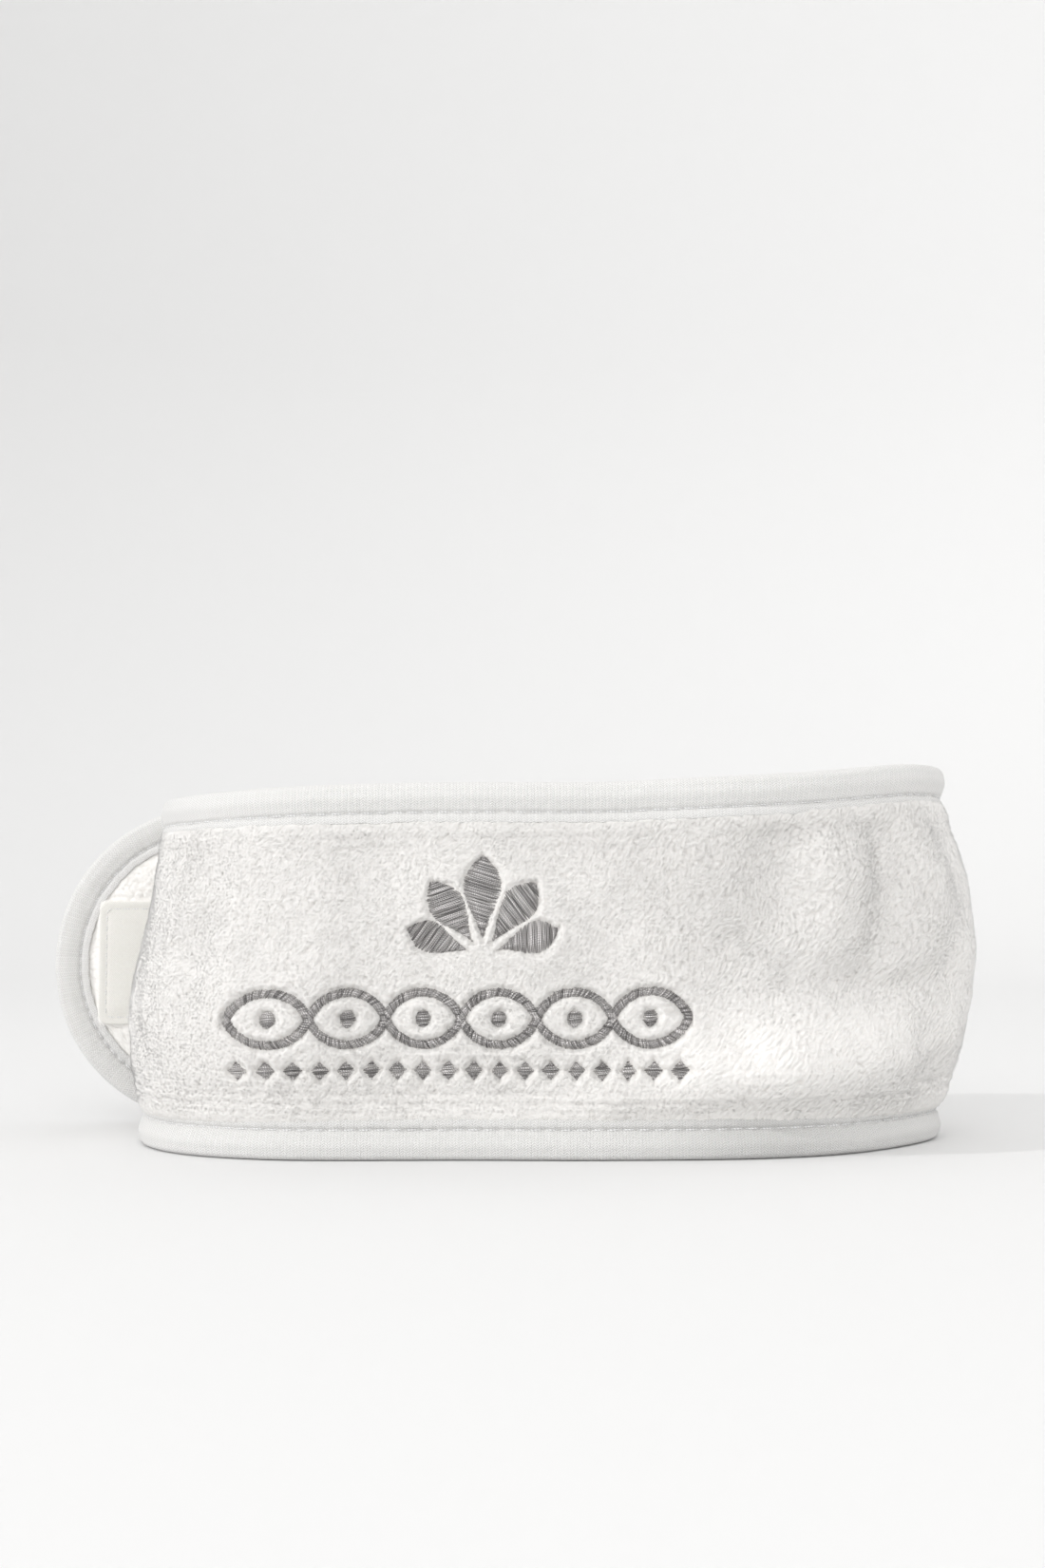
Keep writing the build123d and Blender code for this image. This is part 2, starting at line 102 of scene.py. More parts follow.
def soft_table(knots, width=6.0):
    """A smooth curve of s through knots."""
    v = np.interp(PS, [k[0] for k in knots], [k[1] for k in knots])
    n = int(3 * width / 0.25)
    k = np.exp(-0.5 * (np.arange(-n, n + 1) * 0.25 / width) ** 2)
    return np.convolve(np.pad(v, n, mode="edge"), k / k.sum(), "valid")


TALL = soft_table([(60, 0), (105, -0.018), (146, -0.016), (161, -0.011), (180, -0.002), (205, 0.005),
                   (250, 0.005), (268, 0.015), (288, 0.027), (300, 0.037), (314, 0.053), (333, 0.078),
                   (350, 0.085), (385, 0.07), (420, 0.02), (460, 0)])
W_RIGHT = soft_table([(285, 0), (310, 0.22), (335, 0.8), (352, 1), (382, 1), (400, 0.7), (425, 0.15), (450, 0)])
W_LEFT = soft_table([(72, 0), (92, 0.5), (106, 1), (150, 1), (165, 0.55), (182, 0.15), (200, 0)])
FAT_R = ([0, 6.5, 9, 13, 18, 26, 36, 45, 52, 62, 70, 76, 81, 84, 90],
         [0, 0.3, 1.2, 2.2, 4.6, 5.1, 6.7, 8.0, 7.5, 5.9, 3.1, 1.5, 0.5, 0, 0])
FAT_L = ([0, 6.5, 9, 20, 31, 40, 50, 60, 70, 81, 84, 90],
         [0, 0.2, 0.9, 3.1, 4.2, 3.3, 2.1, 1.2, 0.6, 0.4, 0.1, 0])


VS = np.arange(0, 90.5, 0.5)


def rounded_table(t, width=3.0):
    """A table of heights over v, without its corners, and unchanged under the bindings."""
    y = np.interp(VS, *t)
    k = np.exp(-0.5 * (np.arange(-30, 31) * 0.5 / width) ** 2)
    soft = np.convolve(np.pad(y, 30, mode="edge"), k / k.sum(), "valid")
    free = np.clip((np.minimum(VS, 90 - VS) - 6) / 5, 0, 1)
    return VS, y * (1 - free) + soft * free


FAT_R, FAT_L = rounded_table(FAT_R), rounded_table(FAT_L)


def smooth(x, a, b):
    t = np.clip((x - a) / (b - a), 0, 1)
    return t * t * (3 - 2 * t)


def lean(s, v):
    """How far the whole strap stands off its plain path, outward."""
    right = np.interp(s, PS, W_RIGHT) * (-0.1 + 3.2 * v / 90)
    left = np.interp(s, PS, W_LEFT) * (1.6 - 5.1 * v / 90)
    free = smooth(s, 120, 160) * (1 - smooth(s, 400, 450))
    wave = free * (0.55 * np.sin(s / 17.0 + 0.8) * (0.35 + v / 90) + 0.35 * np.sin(s / 9.3 + v / 31))
    return right + left + wave


def fat(s, v):
    """The extra swell of the strap at its two folds."""
    return (np.interp(s, PS, W_RIGHT) * np.interp(v, *FAT_R)
            + np.interp(s, PS, W_LEFT) * np.interp(v, *FAT_L))


def place(s, v, u):
    s, v, u = np.broadcast_arrays(*(np.asarray(q, float) for q in (s, v, u)))
    x, y, h = np.interp(s, PS, PX), np.interp(s, PS, PY), np.interp(s, PS, PH)
    n = u + lean(s, v)
    z = v * (1 + np.interp(s, PS, TALL) * smooth(v, 0, 30))
    return np.stack([x + np.sin(h) * n, y - np.cos(h) * n, z], -1) * MM


def outward(s):
    h = np.interp(s, PS, PH)
    return np.stack([np.sin(h), -np.cos(h), np.zeros_like(h)], -1)


def along(s):
    h = np.interp(s, PS, PH)
    return np.stack([np.cos(h), np.sin(h), np.zeros_like(h)], -1)


UP = np.array([0.0, 0.0, 1.0])

# ------------------------------------------------------------------- noise, seeded


def hash2(ix, iy, k):
    h = ix.astype(np.int64) * 73856093 ^ iy.astype(np.int64) * 19349663 ^ np.int64(k * 83492791)
    h = ((h ^ (h >> 13)) * 1274126177) & 0xFFFFFFFF
    h = ((h ^ (h >> 15)) * 2246822519) & 0xFFFFFFFF
    h = h ^ (h >> 13)
    return (h & 0xFFFFFF) / float(0x1000000)


def noise(x, y, k=0):
    x0, y0 = np.floor(x), np.floor(y)
    fx, fy = x - x0, y - y0

    def g(ix, iy, dx, dy):
        a = hash2(ix, iy, k) * 2 * PI
        return np.cos(a) * dx + np.sin(a) * dy

    u, v = fx**3 * (fx * (fx * 6 - 15) + 10), fy**3 * (fy * (fy * 6 - 15) + 10)
    a = g(x0, y0, fx, fy) * (1 - u) + g(x0 + 1, y0, fx - 1, fy) * u
    b = g(x0, y0 + 1, fx, fy - 1) * (1 - u) + g(x0 + 1, y0 + 1, fx - 1, fy - 1) * u
    return (a * (1 - v) + b * v) * 1.5


def cells(x, y, k=0):
    """Distance to the nearest and second nearest of jittered points, and the nearest point."""
    x0, y0 = np.floor(x), np.floor(y)
    d1 = np.full(x.shape, 9.0)
    d2 = np.full(x.shape, 9.0)
    cx, cy = np.zeros(x.shape), np.zeros(x.shape)
    for i in (-1, 0, 1):
        for j in (-1, 0, 1):
            px = x0 + i + 0.15 + 0.7 * hash2(x0 + i, y0 + j, k)
            py = y0 + j + 0.15 + 0.7 * hash2(x0 + i, y0 + j, k + 7)
            d = np.hypot(x - px, y - py)
            near = d < d1
            d2 = np.where(near, d1, np.minimum(d2, d))
            cx, cy = np.where(near, px, cx), np.where(near, py, cy)
            d1 = np.where(near, d, d1)
    return d1, d2, cx, cy


# ------------------------------------------------------------ embroidery, drawn flat
# Positions on the front: x along the path as seen from the front, v up the strap.
LOTUS = (1.08, 48.6)
PETALS = [(0, 20.0, 9.4), (36, 17.8, 8.6), (-36, 17.8, 8.6), (71, 15.4, 7.6), (-71, 15.4, 7.6)]
WAVE_X, WAVE_V, WAVE_L, WAVE_A, STROKE, WAVE_N = -4.019, 33.7, 18.0, 6.2, 2.2, 6
SEED_V, SEED_N, SEED_P, SEED_R = 21.4, 18, 6.1, 2.3
WAVE_C = [WAVE_X + (i - (WAVE_N - 1) / 2) * WAVE_L for i in range(WAVE_N)]
SEED_C = [WAVE_X + (i - (SEED_N - 1) / 2) * SEED_P for i in range(SEED_N)]
ARC_R = (WAVE_L**2 / 4 + WAVE_A**2) / (2 * WAVE_A)
FRONT_S = (PS > 112) & (PS < 340)


def petal_half(a, length, width):
    """Half the width of a petal, a along it from its foot: narrow foot, blunt tip."""
    t = np.clip(np.asarray(a, float) / length, 0, 1)
    return width / 2 * np.maximum(np.sin(PI * t**1.55), 0) ** 0.85


def s_of_x(x):
    return np.interp(x, PX[FRONT_S], PS[FRONT_S])


def stitch_distance(x, v):
    """Distance from (x, v) to the nearest stitched area; negative inside."""
    d = np.full(x.shape, 99.0)
    for turn, length, width in PETALS:
        t = math.radians(turn)
        fx, fv = LOTUS[0] + 3.6 * math.sin(t), LOTUS[1] + 3.6 * math.cos(t)
        a = (x - fx) * math.sin(t) + (v - fv) * math.cos(t)
        b = np.abs((x - fx) * math.cos(t) - (v - fv) * math.sin(t))
        over = np.maximum(np.maximum(-a, a - length), 0)
        d = np.minimum(d, np.hypot(np.maximum(b - petal_half(a, length, width), -3) * 0.85, over)
                       * np.where((b < petal_half(a, length, width)) & (over == 0), -1, 1))
    for c in WAVE_C:
        for sign in (1, -1):
            cv = WAVE_V - sign * (ARC_R - WAVE_A)
            ring = np.abs(np.hypot(x - c, v - cv) - ARC_R) - STROKE / 2
            inside = ((v - WAVE_V) * sign > -0.3) & (np.abs(x - c) < WAVE_L / 2 + 1)
            d = np.minimum(d, np.where(inside, ring, 99))
        d = np.minimum(d, np.hypot(x - c, v - WAVE_V) - 1.9)
    for c in SEED_C:
        d = np.minimum(d, (np.abs(x - c) + np.abs(v - SEED_V) - SEED_R) * 0.707)
    return d


# ----------------------------------------------------- the soft form of each layer


def edge_in(s, v):
    """Distance in from the inner edge of the binding."""
    straight = 36 - np.abs(v - 45)
    over = np.where(s < 45, 45 - s, np.where(s > TOTAL - 45, s - TOTAL + 45, 0))
    return np.where(over > 0, 36 - np.hypot(over, v - 45), straight)


def crease(s, v, points, width, depth):
    """A soft valley (or ridge) along a line of points on the strap."""
    d = np.full(s.shape, 99.0)
    fade = np.zeros(s.shape)
    n = len(points) - 1
    for i in range(n):
        (a, b), (c, e) = points[i], points[i + 1]
        l2 = (c - a) ** 2 + (e - b) ** 2
        t = np.clip(((s - a) * (c - a) + (v - b) * (e - b)) / l2, 0, 1)
        q = np.hypot(s - a - t * (c - a), v - b - t * (e - b))
        fade = np.where(q < d, (i + t) / n, fade)
        d = np.minimum(d, q)
    return -depth * np.exp(-((d / width) ** 2)) * (0.35 + 0.65 * np.sin(PI * np.clip(fade, 0.08, 0.92)))


def creases(s, v):
    o = crease(s, v, [(322, 82), (322, 68), (319, 55), (313, 44)], 5.2, 3.2)
    o += crease(s, v, [(296, 43), (307, 39), (322, 38), (342, 42)], 4.6, 3.4)
    o += crease(s, v, [(333, 80), (337, 62), (333, 50)], 6.0, -1.6)
    o += crease(s, v, [(256, 12), (278, 17), (300, 19), (322, 20), (344, 25)], 8.5, -5.8)
    o += crease(s, v, [(290, 82), (293, 67), (291, 52)], 11.0, 3.7)
    o += crease(s, v, [(306, 72), (306, 60), (303, 50)], 5.0, -1.0)
    o += crease(s, v, [(270, 36), (282, 28), (292, 17)], 3.6, 1.2)
    o += crease(s, v, [(333, 24), (346, 18), (356, 16)], 4.2, 1.9)
    o += crease(s, v, [(345, 72), (352, 55), (362, 48)], 5.5, 0.8)
    o += crease(s, v, [(156, 68), (151, 50), (153, 34)], 5.0, 1.9)
    o += crease(s, v, [(164, 74), (163, 50), (165, 20)], 3.2, -0.9)
    o += crease(s, v, [(140, 24), (128, 30), (116, 26)], 4.6, 1.3)
    o += crease(s, v, [(262, 76), (268, 62), (272, 50)], 5.5, 0.6)
    o += crease(s, v, [(372, 20), (381, 40), (379, 66)], 4.5, 1.8)
    o += crease(s, v, [(396, 74), (403, 52), (415, 38)], 5.0, 1.4)
    o += crease(s, v, [(104, 70), (100, 52), (108, 34)], 4.6, 1.5)
    free = smooth(s, 90, 110) * (1 - smooth(s, 425, 450))
    return (o + 0.5 * noise(s / 17, v / 15, 3)) * free


def sampled(field, s, v):
    """Reads a coarse field of the cloth simulation between its points."""
    ss, vv, f = field
    i = np.clip((s - ss[0]) / (ss[1] - ss[0]), 0, len(ss) - 1.001)
    j = np.clip((v - vv[0]) / (vv[1] - vv[0]), 0, len(vv) - 1.001)
    i0, j0 = i.astype(int), j.astype(int)
    a, b = i - i0, j - j0
    a, b = a * a * (3 - 2 * a), b * b * (3 - 2 * b)
    return (f[i0, j0] * (1 - a) * (1 - b) + f[i0 + 1, j0] * a * (1 - b)
            + f[i0, j0 + 1] * (1 - a) * b + f[i0 + 1, j0 + 1] * a * b)


def base_out(s, v):
    e = np.maximum(edge_in(s, v), -1.0)
    crown = 1 - ((36 - np.clip(e, 0, 36)) / 36) ** 2
    return 2.0 + 1.05 * (1 - np.exp(-np.maximum(e, 0) / 2.2)) + 1.55 * crown + 0.9 * np.minimum(e, 0)


def base_in(s, v):
    e = np.maximum(edge_in(s, v), -1.0)
    crown = 1 - ((36 - np.clip(e, 0, 36)) / 36) ** 2
    return 1.6 + 0.75 * (1 - np.exp(-np.maximum(e, 0) / 2.6)) + 0.55 * crown + 0.7 * np.minimum(e, 0)


def make_mesh(name, co, faces, attributes=(), material=None, normals=None, smooth_faces=True):
    me = bpy.data.meshes.new(name)
    co = np.asarray(co, np.float32).reshape(-1, 3)
    faces = np.asarray(faces, np.int32)
    n, k = faces.shape
    me.vertices.add(len(co))
    me.vertices.foreach_set("co", co.ravel())
    me.loops.add(n * k)
    me.loops.foreach_set("vertex_index", faces.ravel())
    me.polygons.add(n)
    me.polygons.foreach_set("loop_start", np.arange(0, n * k, k, dtype=np.int32))
    me.polygons.foreach_set("loop_total", np.full(n, k, np.int32))
    me.update(calc_edges=True)
    me.polygons.foreach_set("use_smooth", np.full(n, smooth_faces))
    for key, kind, data in attributes:
        a = me.attributes.new(key, kind, "POINT")
        flat = np.asarray(data, np.float32).ravel()
        a.data.foreach_set("vector" if kind in ("FLOAT_VECTOR", "FLOAT2") else "value", flat)
    if normals is not None:
        nn = np.asarray(normals, float).reshape(-1, 3)
        nn /= np.maximum(np.linalg.norm(nn, axis=1, keepdims=True), 1e-9)
        me.normals_split_custom_set_from_vertices(nn.tolist())
    ob = bpy.data.objects.new(name, me)
    bpy.context.scene.collection.objects.link(ob)
    if material is not None:
        me.materials.append(material)
    return ob


def grid_faces(ni, nj, flip=False, closed=False):
    i, j = np.meshgrid(np.arange(ni - 1), np.arange(nj if closed else nj - 1), indexing="ij")
    j1 = (j + 1) % nj
    a, b, c, d = i * nj + j, (i + 1) * nj + j, (i + 1) * nj + j1, i * nj + j1
    q = np.stack([a, b, c, d] if not flip else [a, d, c, b], -1)
    return q.reshape(-1, 4)


def grid_normals(p, flip):
    du = np.gradient(p, axis=0)
    dv = np.gradient(p, axis=1)
    n = np.cross(du, dv)
    n /= np.maximum(np.linalg.norm(n, axis=-1, keepdims=True), 1e-12)
    return -n if flip else n


# ------------------------------------------------------ cloth simulation of the panels


def swell(side):
    """The panel between its two bindings as cloth with a little spare length, blown out
    by the filling.  Returns how far each point moves off the plain form."""
    ss, vv = np.arange(56.0, 486.1, 2.5), np.linspace(9, 81, 31)
    S, V = np.meshgrid(ss, vv, indexing="ij")
    U = side * (base_out(S, V) if side > 0 else base_in(S, V)) + fat(S, V) * (1.0 if side > 0 else 0.5)
    U = U + 0.35 * creases(S, V) + 0.15 * noise(S / 6, V / 5, 21)
    p = place(S, V, U)
    ob = make_mesh("cloth", p, grid_faces(len(ss), len(vv), flip=side < 0))
    pin = ob.vertex_groups.new(name="pin")
    mask = np.zeros(S.shape, bool)
    mask[:, :1] = mask[:, -1:] = mask[:2] = mask[-2:] = True
    pin.add([int(i) for i in np.flatnonzero(mask.ravel())], 1.0, "REPLACE")
    m = ob.modifiers.new("cloth", "CLOTH")
    c = m.settings
    c.quality = 6
    c.mass = 0.12
    c.tension_stiffness = c.compression_stiffness = 12
    c.shear_stiffness = 6
    c.bending_stiffness = 0.9
    c.air_damping = 2.0
    c.use_pressure = True
    c.uniform_pressure_force = 3.2
    c.shrink_min = -0.045
    c.vertex_group_mass = "pin"
    c.effector_weights.gravity = 0.0
    m.collision_settings.use_collision = False
    scene = bpy.context.scene
    for f in range(1, 22):
        scene.frame_set(f)
    me = ob.evaluated_get(bpy.context.evaluated_depsgraph_get()).to_mesh()
    q = np.zeros(len(me.vertices) * 3, np.float32)
    me.vertices.foreach_get("co", q)
    q = q.reshape(p.shape).astype(float)
    bpy.data.objects.remove(ob)
    scene.frame_set(1)
    d = ((q - p) * outward(S)).sum(-1) / MM
    lift = d - np.median(d[6:-6, 8:-8])
    d = np.clip(lift, -2.6, 2.6)
    for axis, wide in ((0, 2.2), (1, 2.0)):  # the filling evens out the finest ripples
        r = np.arange(-7, 8)
        g = np.exp(-0.5 * (r / wide) ** 2)
        pad = [(7, 7) if i == axis else (0, 0) for i in range(2)]
        e = np.pad(d, pad, mode="edge")
        d = sum(w * np.take(e, range(i, i + d.shape[axis]), axis) for i, w in enumerate(g / g.sum()))
    calm = smooth(S, 96, 112) * (1 - smooth(S, 435, 460)) * smooth(V, 9, 17) * (1 - smooth(V, 73, 81))
    return ss, vv, 1.3 * d * calm


PUFF_OUT = swell(1)
PUFF_IN = swell(-1)


def form_out(s, v):
    """The outer face of the plush without its pile."""
    return base_out(s, v) + fat(s, v) + creases(s, v) * smooth(edge_in(s, v), 0, 7) + 0.8 * sampled(PUFF_OUT, s, v)


def form_in(s, v):
    """The inner face of the lining without its pile, as a negative height."""
    patch = (s > TOTAL - 119) & (s < TOTAL - 9) & (np.abs(v - 45) < 19)
    return (-base_in(s, v) + 0.5 * fat(s, v) + 0.7 * creases(s + 6, v) * smooth(edge_in(s, v), 0, 7)
            + 0.8 * sampled(PUFF_IN, s, v) + np.where(patch, 0.25, 0))


LOOP_S, HOOK_S = 5.581 + 29.918, 582.2 - 18.0  # patch centres along the strap


def calm_patch(s, v, centre, length, height=35.0):
    """1 under a patch, 0 well away from it."""
    d = np.maximum(np.abs(s - centre) - length / 2, np.abs(v - 45) - height / 2)
    return 1 - smooth(d, -0.2, 1.2)


LIE = 0.95  # the way the pile lies, up and to the right


def pile_painted_light_and_shade(s, v):
    """Painted light and shade on the pile, as a tone factor: paler low on the front, round the right fold and at the
    left fold, greyer in patches higher on the front, with a faint random tone.
    """
    t = 1.0 + 0.12 * np.exp(-(((s - 300) / 37) ** 4) - ((v - 27 - 0.06 * (s - 296)) / 11) ** 2)
    t -= 0.125 * np.exp(-(((s - 273) / 14) ** 2) - ((v - 63) / 16) ** 2)
    t -= 0.04 * np.exp(-(((s - 317) / 8) ** 2) - ((v - 56) / 16) ** 2)
    t += 0.03 * np.exp(-(((s - 245) / 40) ** 4) - ((v - 14) / 8) ** 2) + 0.08 * smooth(s, 330, 350) * (1 - smooth(s, 390, 430))
    t += 0.08 * (1 - smooth(s, 130, 150)) * smooth(s, 95, 115)
    t -= 0.02 * np.exp(-(((s - 302) / 9) ** 2) - ((v - 64) / 13) ** 2)
    return t + 0.02 * noise(s / 9, v / 7, 71)


def pile_out(s, v):
    """Tufts of the plush, in millimetres, and how deep a point lies between them."""
    x = s + 0.5 * noise(s / 2.9, v / 2.9, 11) + 2.4 * noise(s / 12, v / 12, 12)
    y = v + 0.5 * noise(s / 2.9, v / 2.9, 13) + 2.4 * noise(s / 12, v / 12, 14)
    p, q = x * math.cos(LIE) + y * math.sin(LIE), -x * math.sin(LIE) + y * math.cos(LIE)
    d1, _, _, _ = cells(p / 2.1, q / 0.95, 5)
    tuft = 1 - np.clip(d1 / 0.75, 0, 1) ** 2
    d3, _, _, _ = cells(p / 1.3, q / 0.62, 6)
    lock = 1 - np.clip(d3 / 0.75, 0, 1) ** 2
    rib = np.cos(v * 2 * PI / 2.1 + 1.4 * noise(s / 6, v / 4, 9)) * smooth(v, 9, 11) * (1 - smooth(v, 15, 21))
    calm = (0.75 + 0.35 * noise(s / 15, v / 13, 16)) * (1 + 0.6 * smooth(s, 250, 300) * (1 - smooth(s, 400, 440)))
    h = calm * (0.26 * tuft + 0.16 * lock) + 0.11 * rib + 0.2 * noise(s / 5.3, v / 4.6, 10) + 0.2
    return h, 0.6 * tuft + 0.4 * lock


def outer_height(s, v):
    """Outer face with pile, pressed down round the embroidery and under the loop patch."""
    h, deep = pile_out(s, v)
    e = edge_in(s, v)
    u = form_out(s, v) - 0.45 + h * (0.75 + 0.25 * smooth(e, 0, 2.5))
    front = (s > 150) & (s < 285)
    if front.any():
        xs = np.interp(s, PS, PX)
        d = np.full(s.shape, 99.0)
        d[front] = stitch_distance(xs[front], v[front])
        d = d + 0.45 * noise(s / 1.3, v / 1.3, 17) * smooth(d, -0.4, 0.6)
        u = u - 1.15 * (1 - smooth(d, -0.3, 1.2)) + 0.08 * np.exp(-(((d - 2.0) / 1.1) ** 2))
        # painted shade: the pile darker in and round the stitched areas
        deep = deep * (0.6 + 0.4 * smooth(d, -0.2, 1.2))
    under = calm_patch(s, v, LOOP_S, 43)
    flat_back = 1 - smooth(s, 62, 76)
    u = np.where(flat_back > 0, u + (np.minimum(u, 4.35) - u) * flat_back, u)
    u = u * (1 - under) + 3.9 * under
    return u, deep


def inner_height(s, v):
    wx, wy = 0.5 * noise(s / 2.7, v / 2.7, 31), 0.5 * noise(s / 2.7, v / 2.7, 32)
    d1, d2, _, _ = cells((s + wx) / 1.35, (v + wy) / 1.1, 33)
    loop = 1 - np.clip(d1 / 0.7, 0, 1) ** 2
    e = edge_in(s, v)
    under = calm_patch(s, v, HOOK_S, 100)
    u = form_in(s, v) + 0.35 - (0.42 * loop + 0.22 * noise(s / 4.4, v / 3.9, 34)) * (0.35 + 0.65 * smooth(e, 0, 4))
    u = np.minimum(u, form_out(s, v) - 2.1 + 0.8 * (1 - smooth(e, 0, 6)))
    flat_tab = smooth(s, 500, 512)
    u = np.where(flat_tab > 0, u + (np.maximum(u, -3.05) - u) * flat_tab, u)
    return u * (1 - under) - 2.5 * under, loop


def strap_grid(s0, s1, ds, dv):
    """Points that fill the strap between its bindings, rounded at both tips."""
    r = 36.8
    lo, hi = 45 - r + 0.1, TOTAL - 45 + r - 0.1
    s = np.linspace(max(s0, lo), min(s1, hi), max(3, int(round((min(s1, hi) - max(s0, lo)) / ds)) + 1))
    for at, sign in ((lo, 1), (hi, -1)):  # crowd the columns where the tip narrows
        end = s[0] if sign > 0 else s[-1]
        if abs(end - at) < 1e-6:
            t = np.abs(s - at)
            zone = t < 8
            s = np.where(zone, at + sign * 8 * (t / 8) ** 1.8, s)
    over = np.where(s < 45, 45 - s, np.where(s > TOTAL - 45, s - TOTAL + 45, 0))
    half = np.sqrt(np.maximum(r * r - over**2, 0.01))
    eta = np.linspace(-1, 1, int(round(2 * r / dv)) + 1)
    S = np.repeat(s[:, None], len(eta), 1)
    V = 45 + half[:, None] * eta[None, :]
    return S, V


def fasten(ob, k, *nodes):
    """Bakes a piece's placement into its mesh and hides the CAD parts it replaces; k, the bend line the piece spans, is
    not used.
    """
    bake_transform(ob)
    if nodes:
        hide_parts(*nodes)
    return ob


# ------------------------------------------------------------------------ materials


def nodes_of(name):
    m = bpy.data.materials.new(name)
    m.use_nodes = True
    nt = m.node_tree
    nt.nodes.clear()
    out = nt.nodes.new("ShaderNodeOutputMaterial")
    b = nt.nodes.new("ShaderNodeBsdfPrincipled")
    nt.links.new(b.outputs[0], out.inputs[0])
    return m, nt, b


def add(nt, kind, **values):
    n = nt.nodes.new(kind)
    for k, v in values.items():
        if k.startswith("i_"):
            key = k[2:]
            n.inputs[int(key) if key.isdigit() else key].default_value = v
        else:
            setattr(n, k, v)
    return n


def link(nt, a, b):
    nt.links.new(a, b)
    return a


def math_node(nt, op, a, b=None, clamp=False):
    n = nt.nodes.new("ShaderNodeMath")
    n.operation = op
    n.use_clamp = clamp
    for i, v in enumerate((a, b)):
        if v is None:
            continue
        if isinstance(v, (int, float)):
            n.inputs[i].default_value = v
        else:
            nt.links.new(v, n.inputs[i])
    return n.outputs[0]


def ramp(nt, fac, stops):
    r = nt.nodes.new("ShaderNodeValToRGB")
    e = r.color_ramp.elements
    e[0].position, e[0].color = stops[0][0], (*stops[0][1], 1)
    e[1].position, e[1].color = stops[-1][0], (*stops[-1][1], 1)
    for p, c in stops[1:-1]:
        x = e.new(p)
        x.color = (*c, 1)
    nt.links.new(fac, r.inputs[0])
    return r.outputs[0]


def mixed(nt, fac, a, b, blend="MIX"):
    m = nt.nodes.new("ShaderNodeMix")
    m.data_type = "RGBA"
    m.blend_type = blend
    for i, v in ((0, fac), (6, a), (7, b)):
        if isinstance(v, (int, float)):
            m.inputs[i].default_value = v
        elif isinstance(v, tuple):
            m.inputs[i].default_value = (*v, 1)
        else:
            nt.links.new(v, m.inputs[i])
    return m.outputs[2]


def bump(nt, height, strength, distance, normal=None):
    b = add(nt, "ShaderNodeBump")
    b.inputs["Strength"].default_value = strength
    b.inputs["Distance"].default_value = distance
    nt.links.new(height, b.inputs["Height"])
    if normal is not None:
        nt.links.new(normal, b.inputs["Normal"])
    return b.outputs[0]


def times_painted_light(nt, colour):
    """The colour times the mesh's own "nap" value, which is painted light and shade."""
    nap = add(nt, "ShaderNodeAttribute", attribute_name="nap")
    v = add(nt, "ShaderNodeVectorMath", operation="SCALE")
    link(nt, colour, v.inputs[0])
    link(nt, nap.outputs["Fac"], v.inputs["Scale"])
    return v.outputs[0]


def pile_material(name, light, shade, deep, sheen, stroke):
    """White pile: strokes of fibre a third of a millimetre wide, with painted shade, warmer and darker, down between
    the tufts and strokes, a slow drift of tone over the cloth, and painted light and shade from the nap attribute."""
    m, nt, b = nodes_of(name)
    at = add(nt, "ShaderNodeAttribute", attribute_name="st")
    mp = add(nt, "ShaderNodeMapping", vector_type="TEXTURE")
    mp.inputs["Rotation"].default_value = (0, 0, LIE)
    mp.inputs["Scale"].default_value = (3.0, 1.0, 1.0)
    link(nt, at.outputs["Vector"], mp.inputs["Vector"])
    warp = add(nt, "ShaderNodeTexNoise", i_Scale=0.5, i_Detail=2.0)
    link(nt, at.outputs["Vector"], warp.inputs["Vector"])
    bent = add(nt, "ShaderNodeVectorMath", operation="MULTIPLY_ADD")
    link(nt, warp.outputs["Color"], bent.inputs[0])
    bent.inputs[1].default_value = (1.2, 1.6, 0)
    link(nt, mp.outputs[0], bent.inputs[2])
    strokes = add(nt, "ShaderNodeTexNoise", i_Scale=1.0 / stroke, i_Detail=4.0, i_Roughness=0.62)
    link(nt, bent.outputs[0], strokes.inputs["Vector"])
    fine = add(nt, "ShaderNodeTexNoise", i_Scale=2.6 / stroke, i_Detail=3.0, i_Roughness=0.6)
    link(nt, bent.outputs[0], fine.inputs["Vector"])
    slow = add(nt, "ShaderNodeTexNoise", i_Scale=0.06, i_Detail=3.0)
    link(nt, at.outputs["Vector"], slow.inputs["Vector"])
    depth = add(nt, "ShaderNodeAttribute", attribute_name="deep")
    c = mixed(nt, ramp(nt, slow.outputs["Fac"], [(0.3, (0, 0, 0)), (0.7, (1, 1, 1))]), light, shade)
    # painted shade: the deep colour where the deep attribute is low, between the tufts, and in the low parts of the
    # fibre strokes
    c = mixed(nt, ramp(nt, depth.outputs["Fac"], [(0.05, (1, 1, 1)), (0.6, (0, 0, 0))]), c, deep)
    c = mixed(nt, ramp(nt, strokes.outputs["Fac"], [(0.3, (0.55, 0.55, 0.55)), (0.62, (0, 0, 0))]), c,
              (deep[0] * 1.02, deep[1] * 1.01, deep[2]))
    link(nt, times_painted_light(nt, c), b.inputs["Base Color"])
    both = math_node(nt, "MULTIPLY_ADD", fine.outputs["Fac"], 0.35)
    both.node.inputs[2].default_value = 0
    nt.links.new(strokes.outputs["Fac"], both.node.inputs[2])
    link(nt, bump(nt, both, 0.55, 0.00025), b.inputs["Normal"])
    b.inputs["Roughness"].default_value = 0.95
    b.inputs["Sheen Weight"].default_value = sheen
    b.inputs["Sheen Roughness"].default_value = 0.55
    b.inputs["Specular IOR Level"].default_value = 0.2
    return m


def fibre_material(name, light, deep):
    m, nt, b = nodes_of(name)
    r = add(nt, "ShaderNodeAttribute", attribute_name="rnd")
    c = mixed(nt, r.outputs["Fac"], deep, light)
    link(nt, c, b.inputs["Base Color"])
    b.inputs["Roughness"].default_value = 0.8
    b.inputs["Sheen Weight"].default_value = 0.25
    b.inputs["Specular IOR Level"].default_value = 0.3
    return m


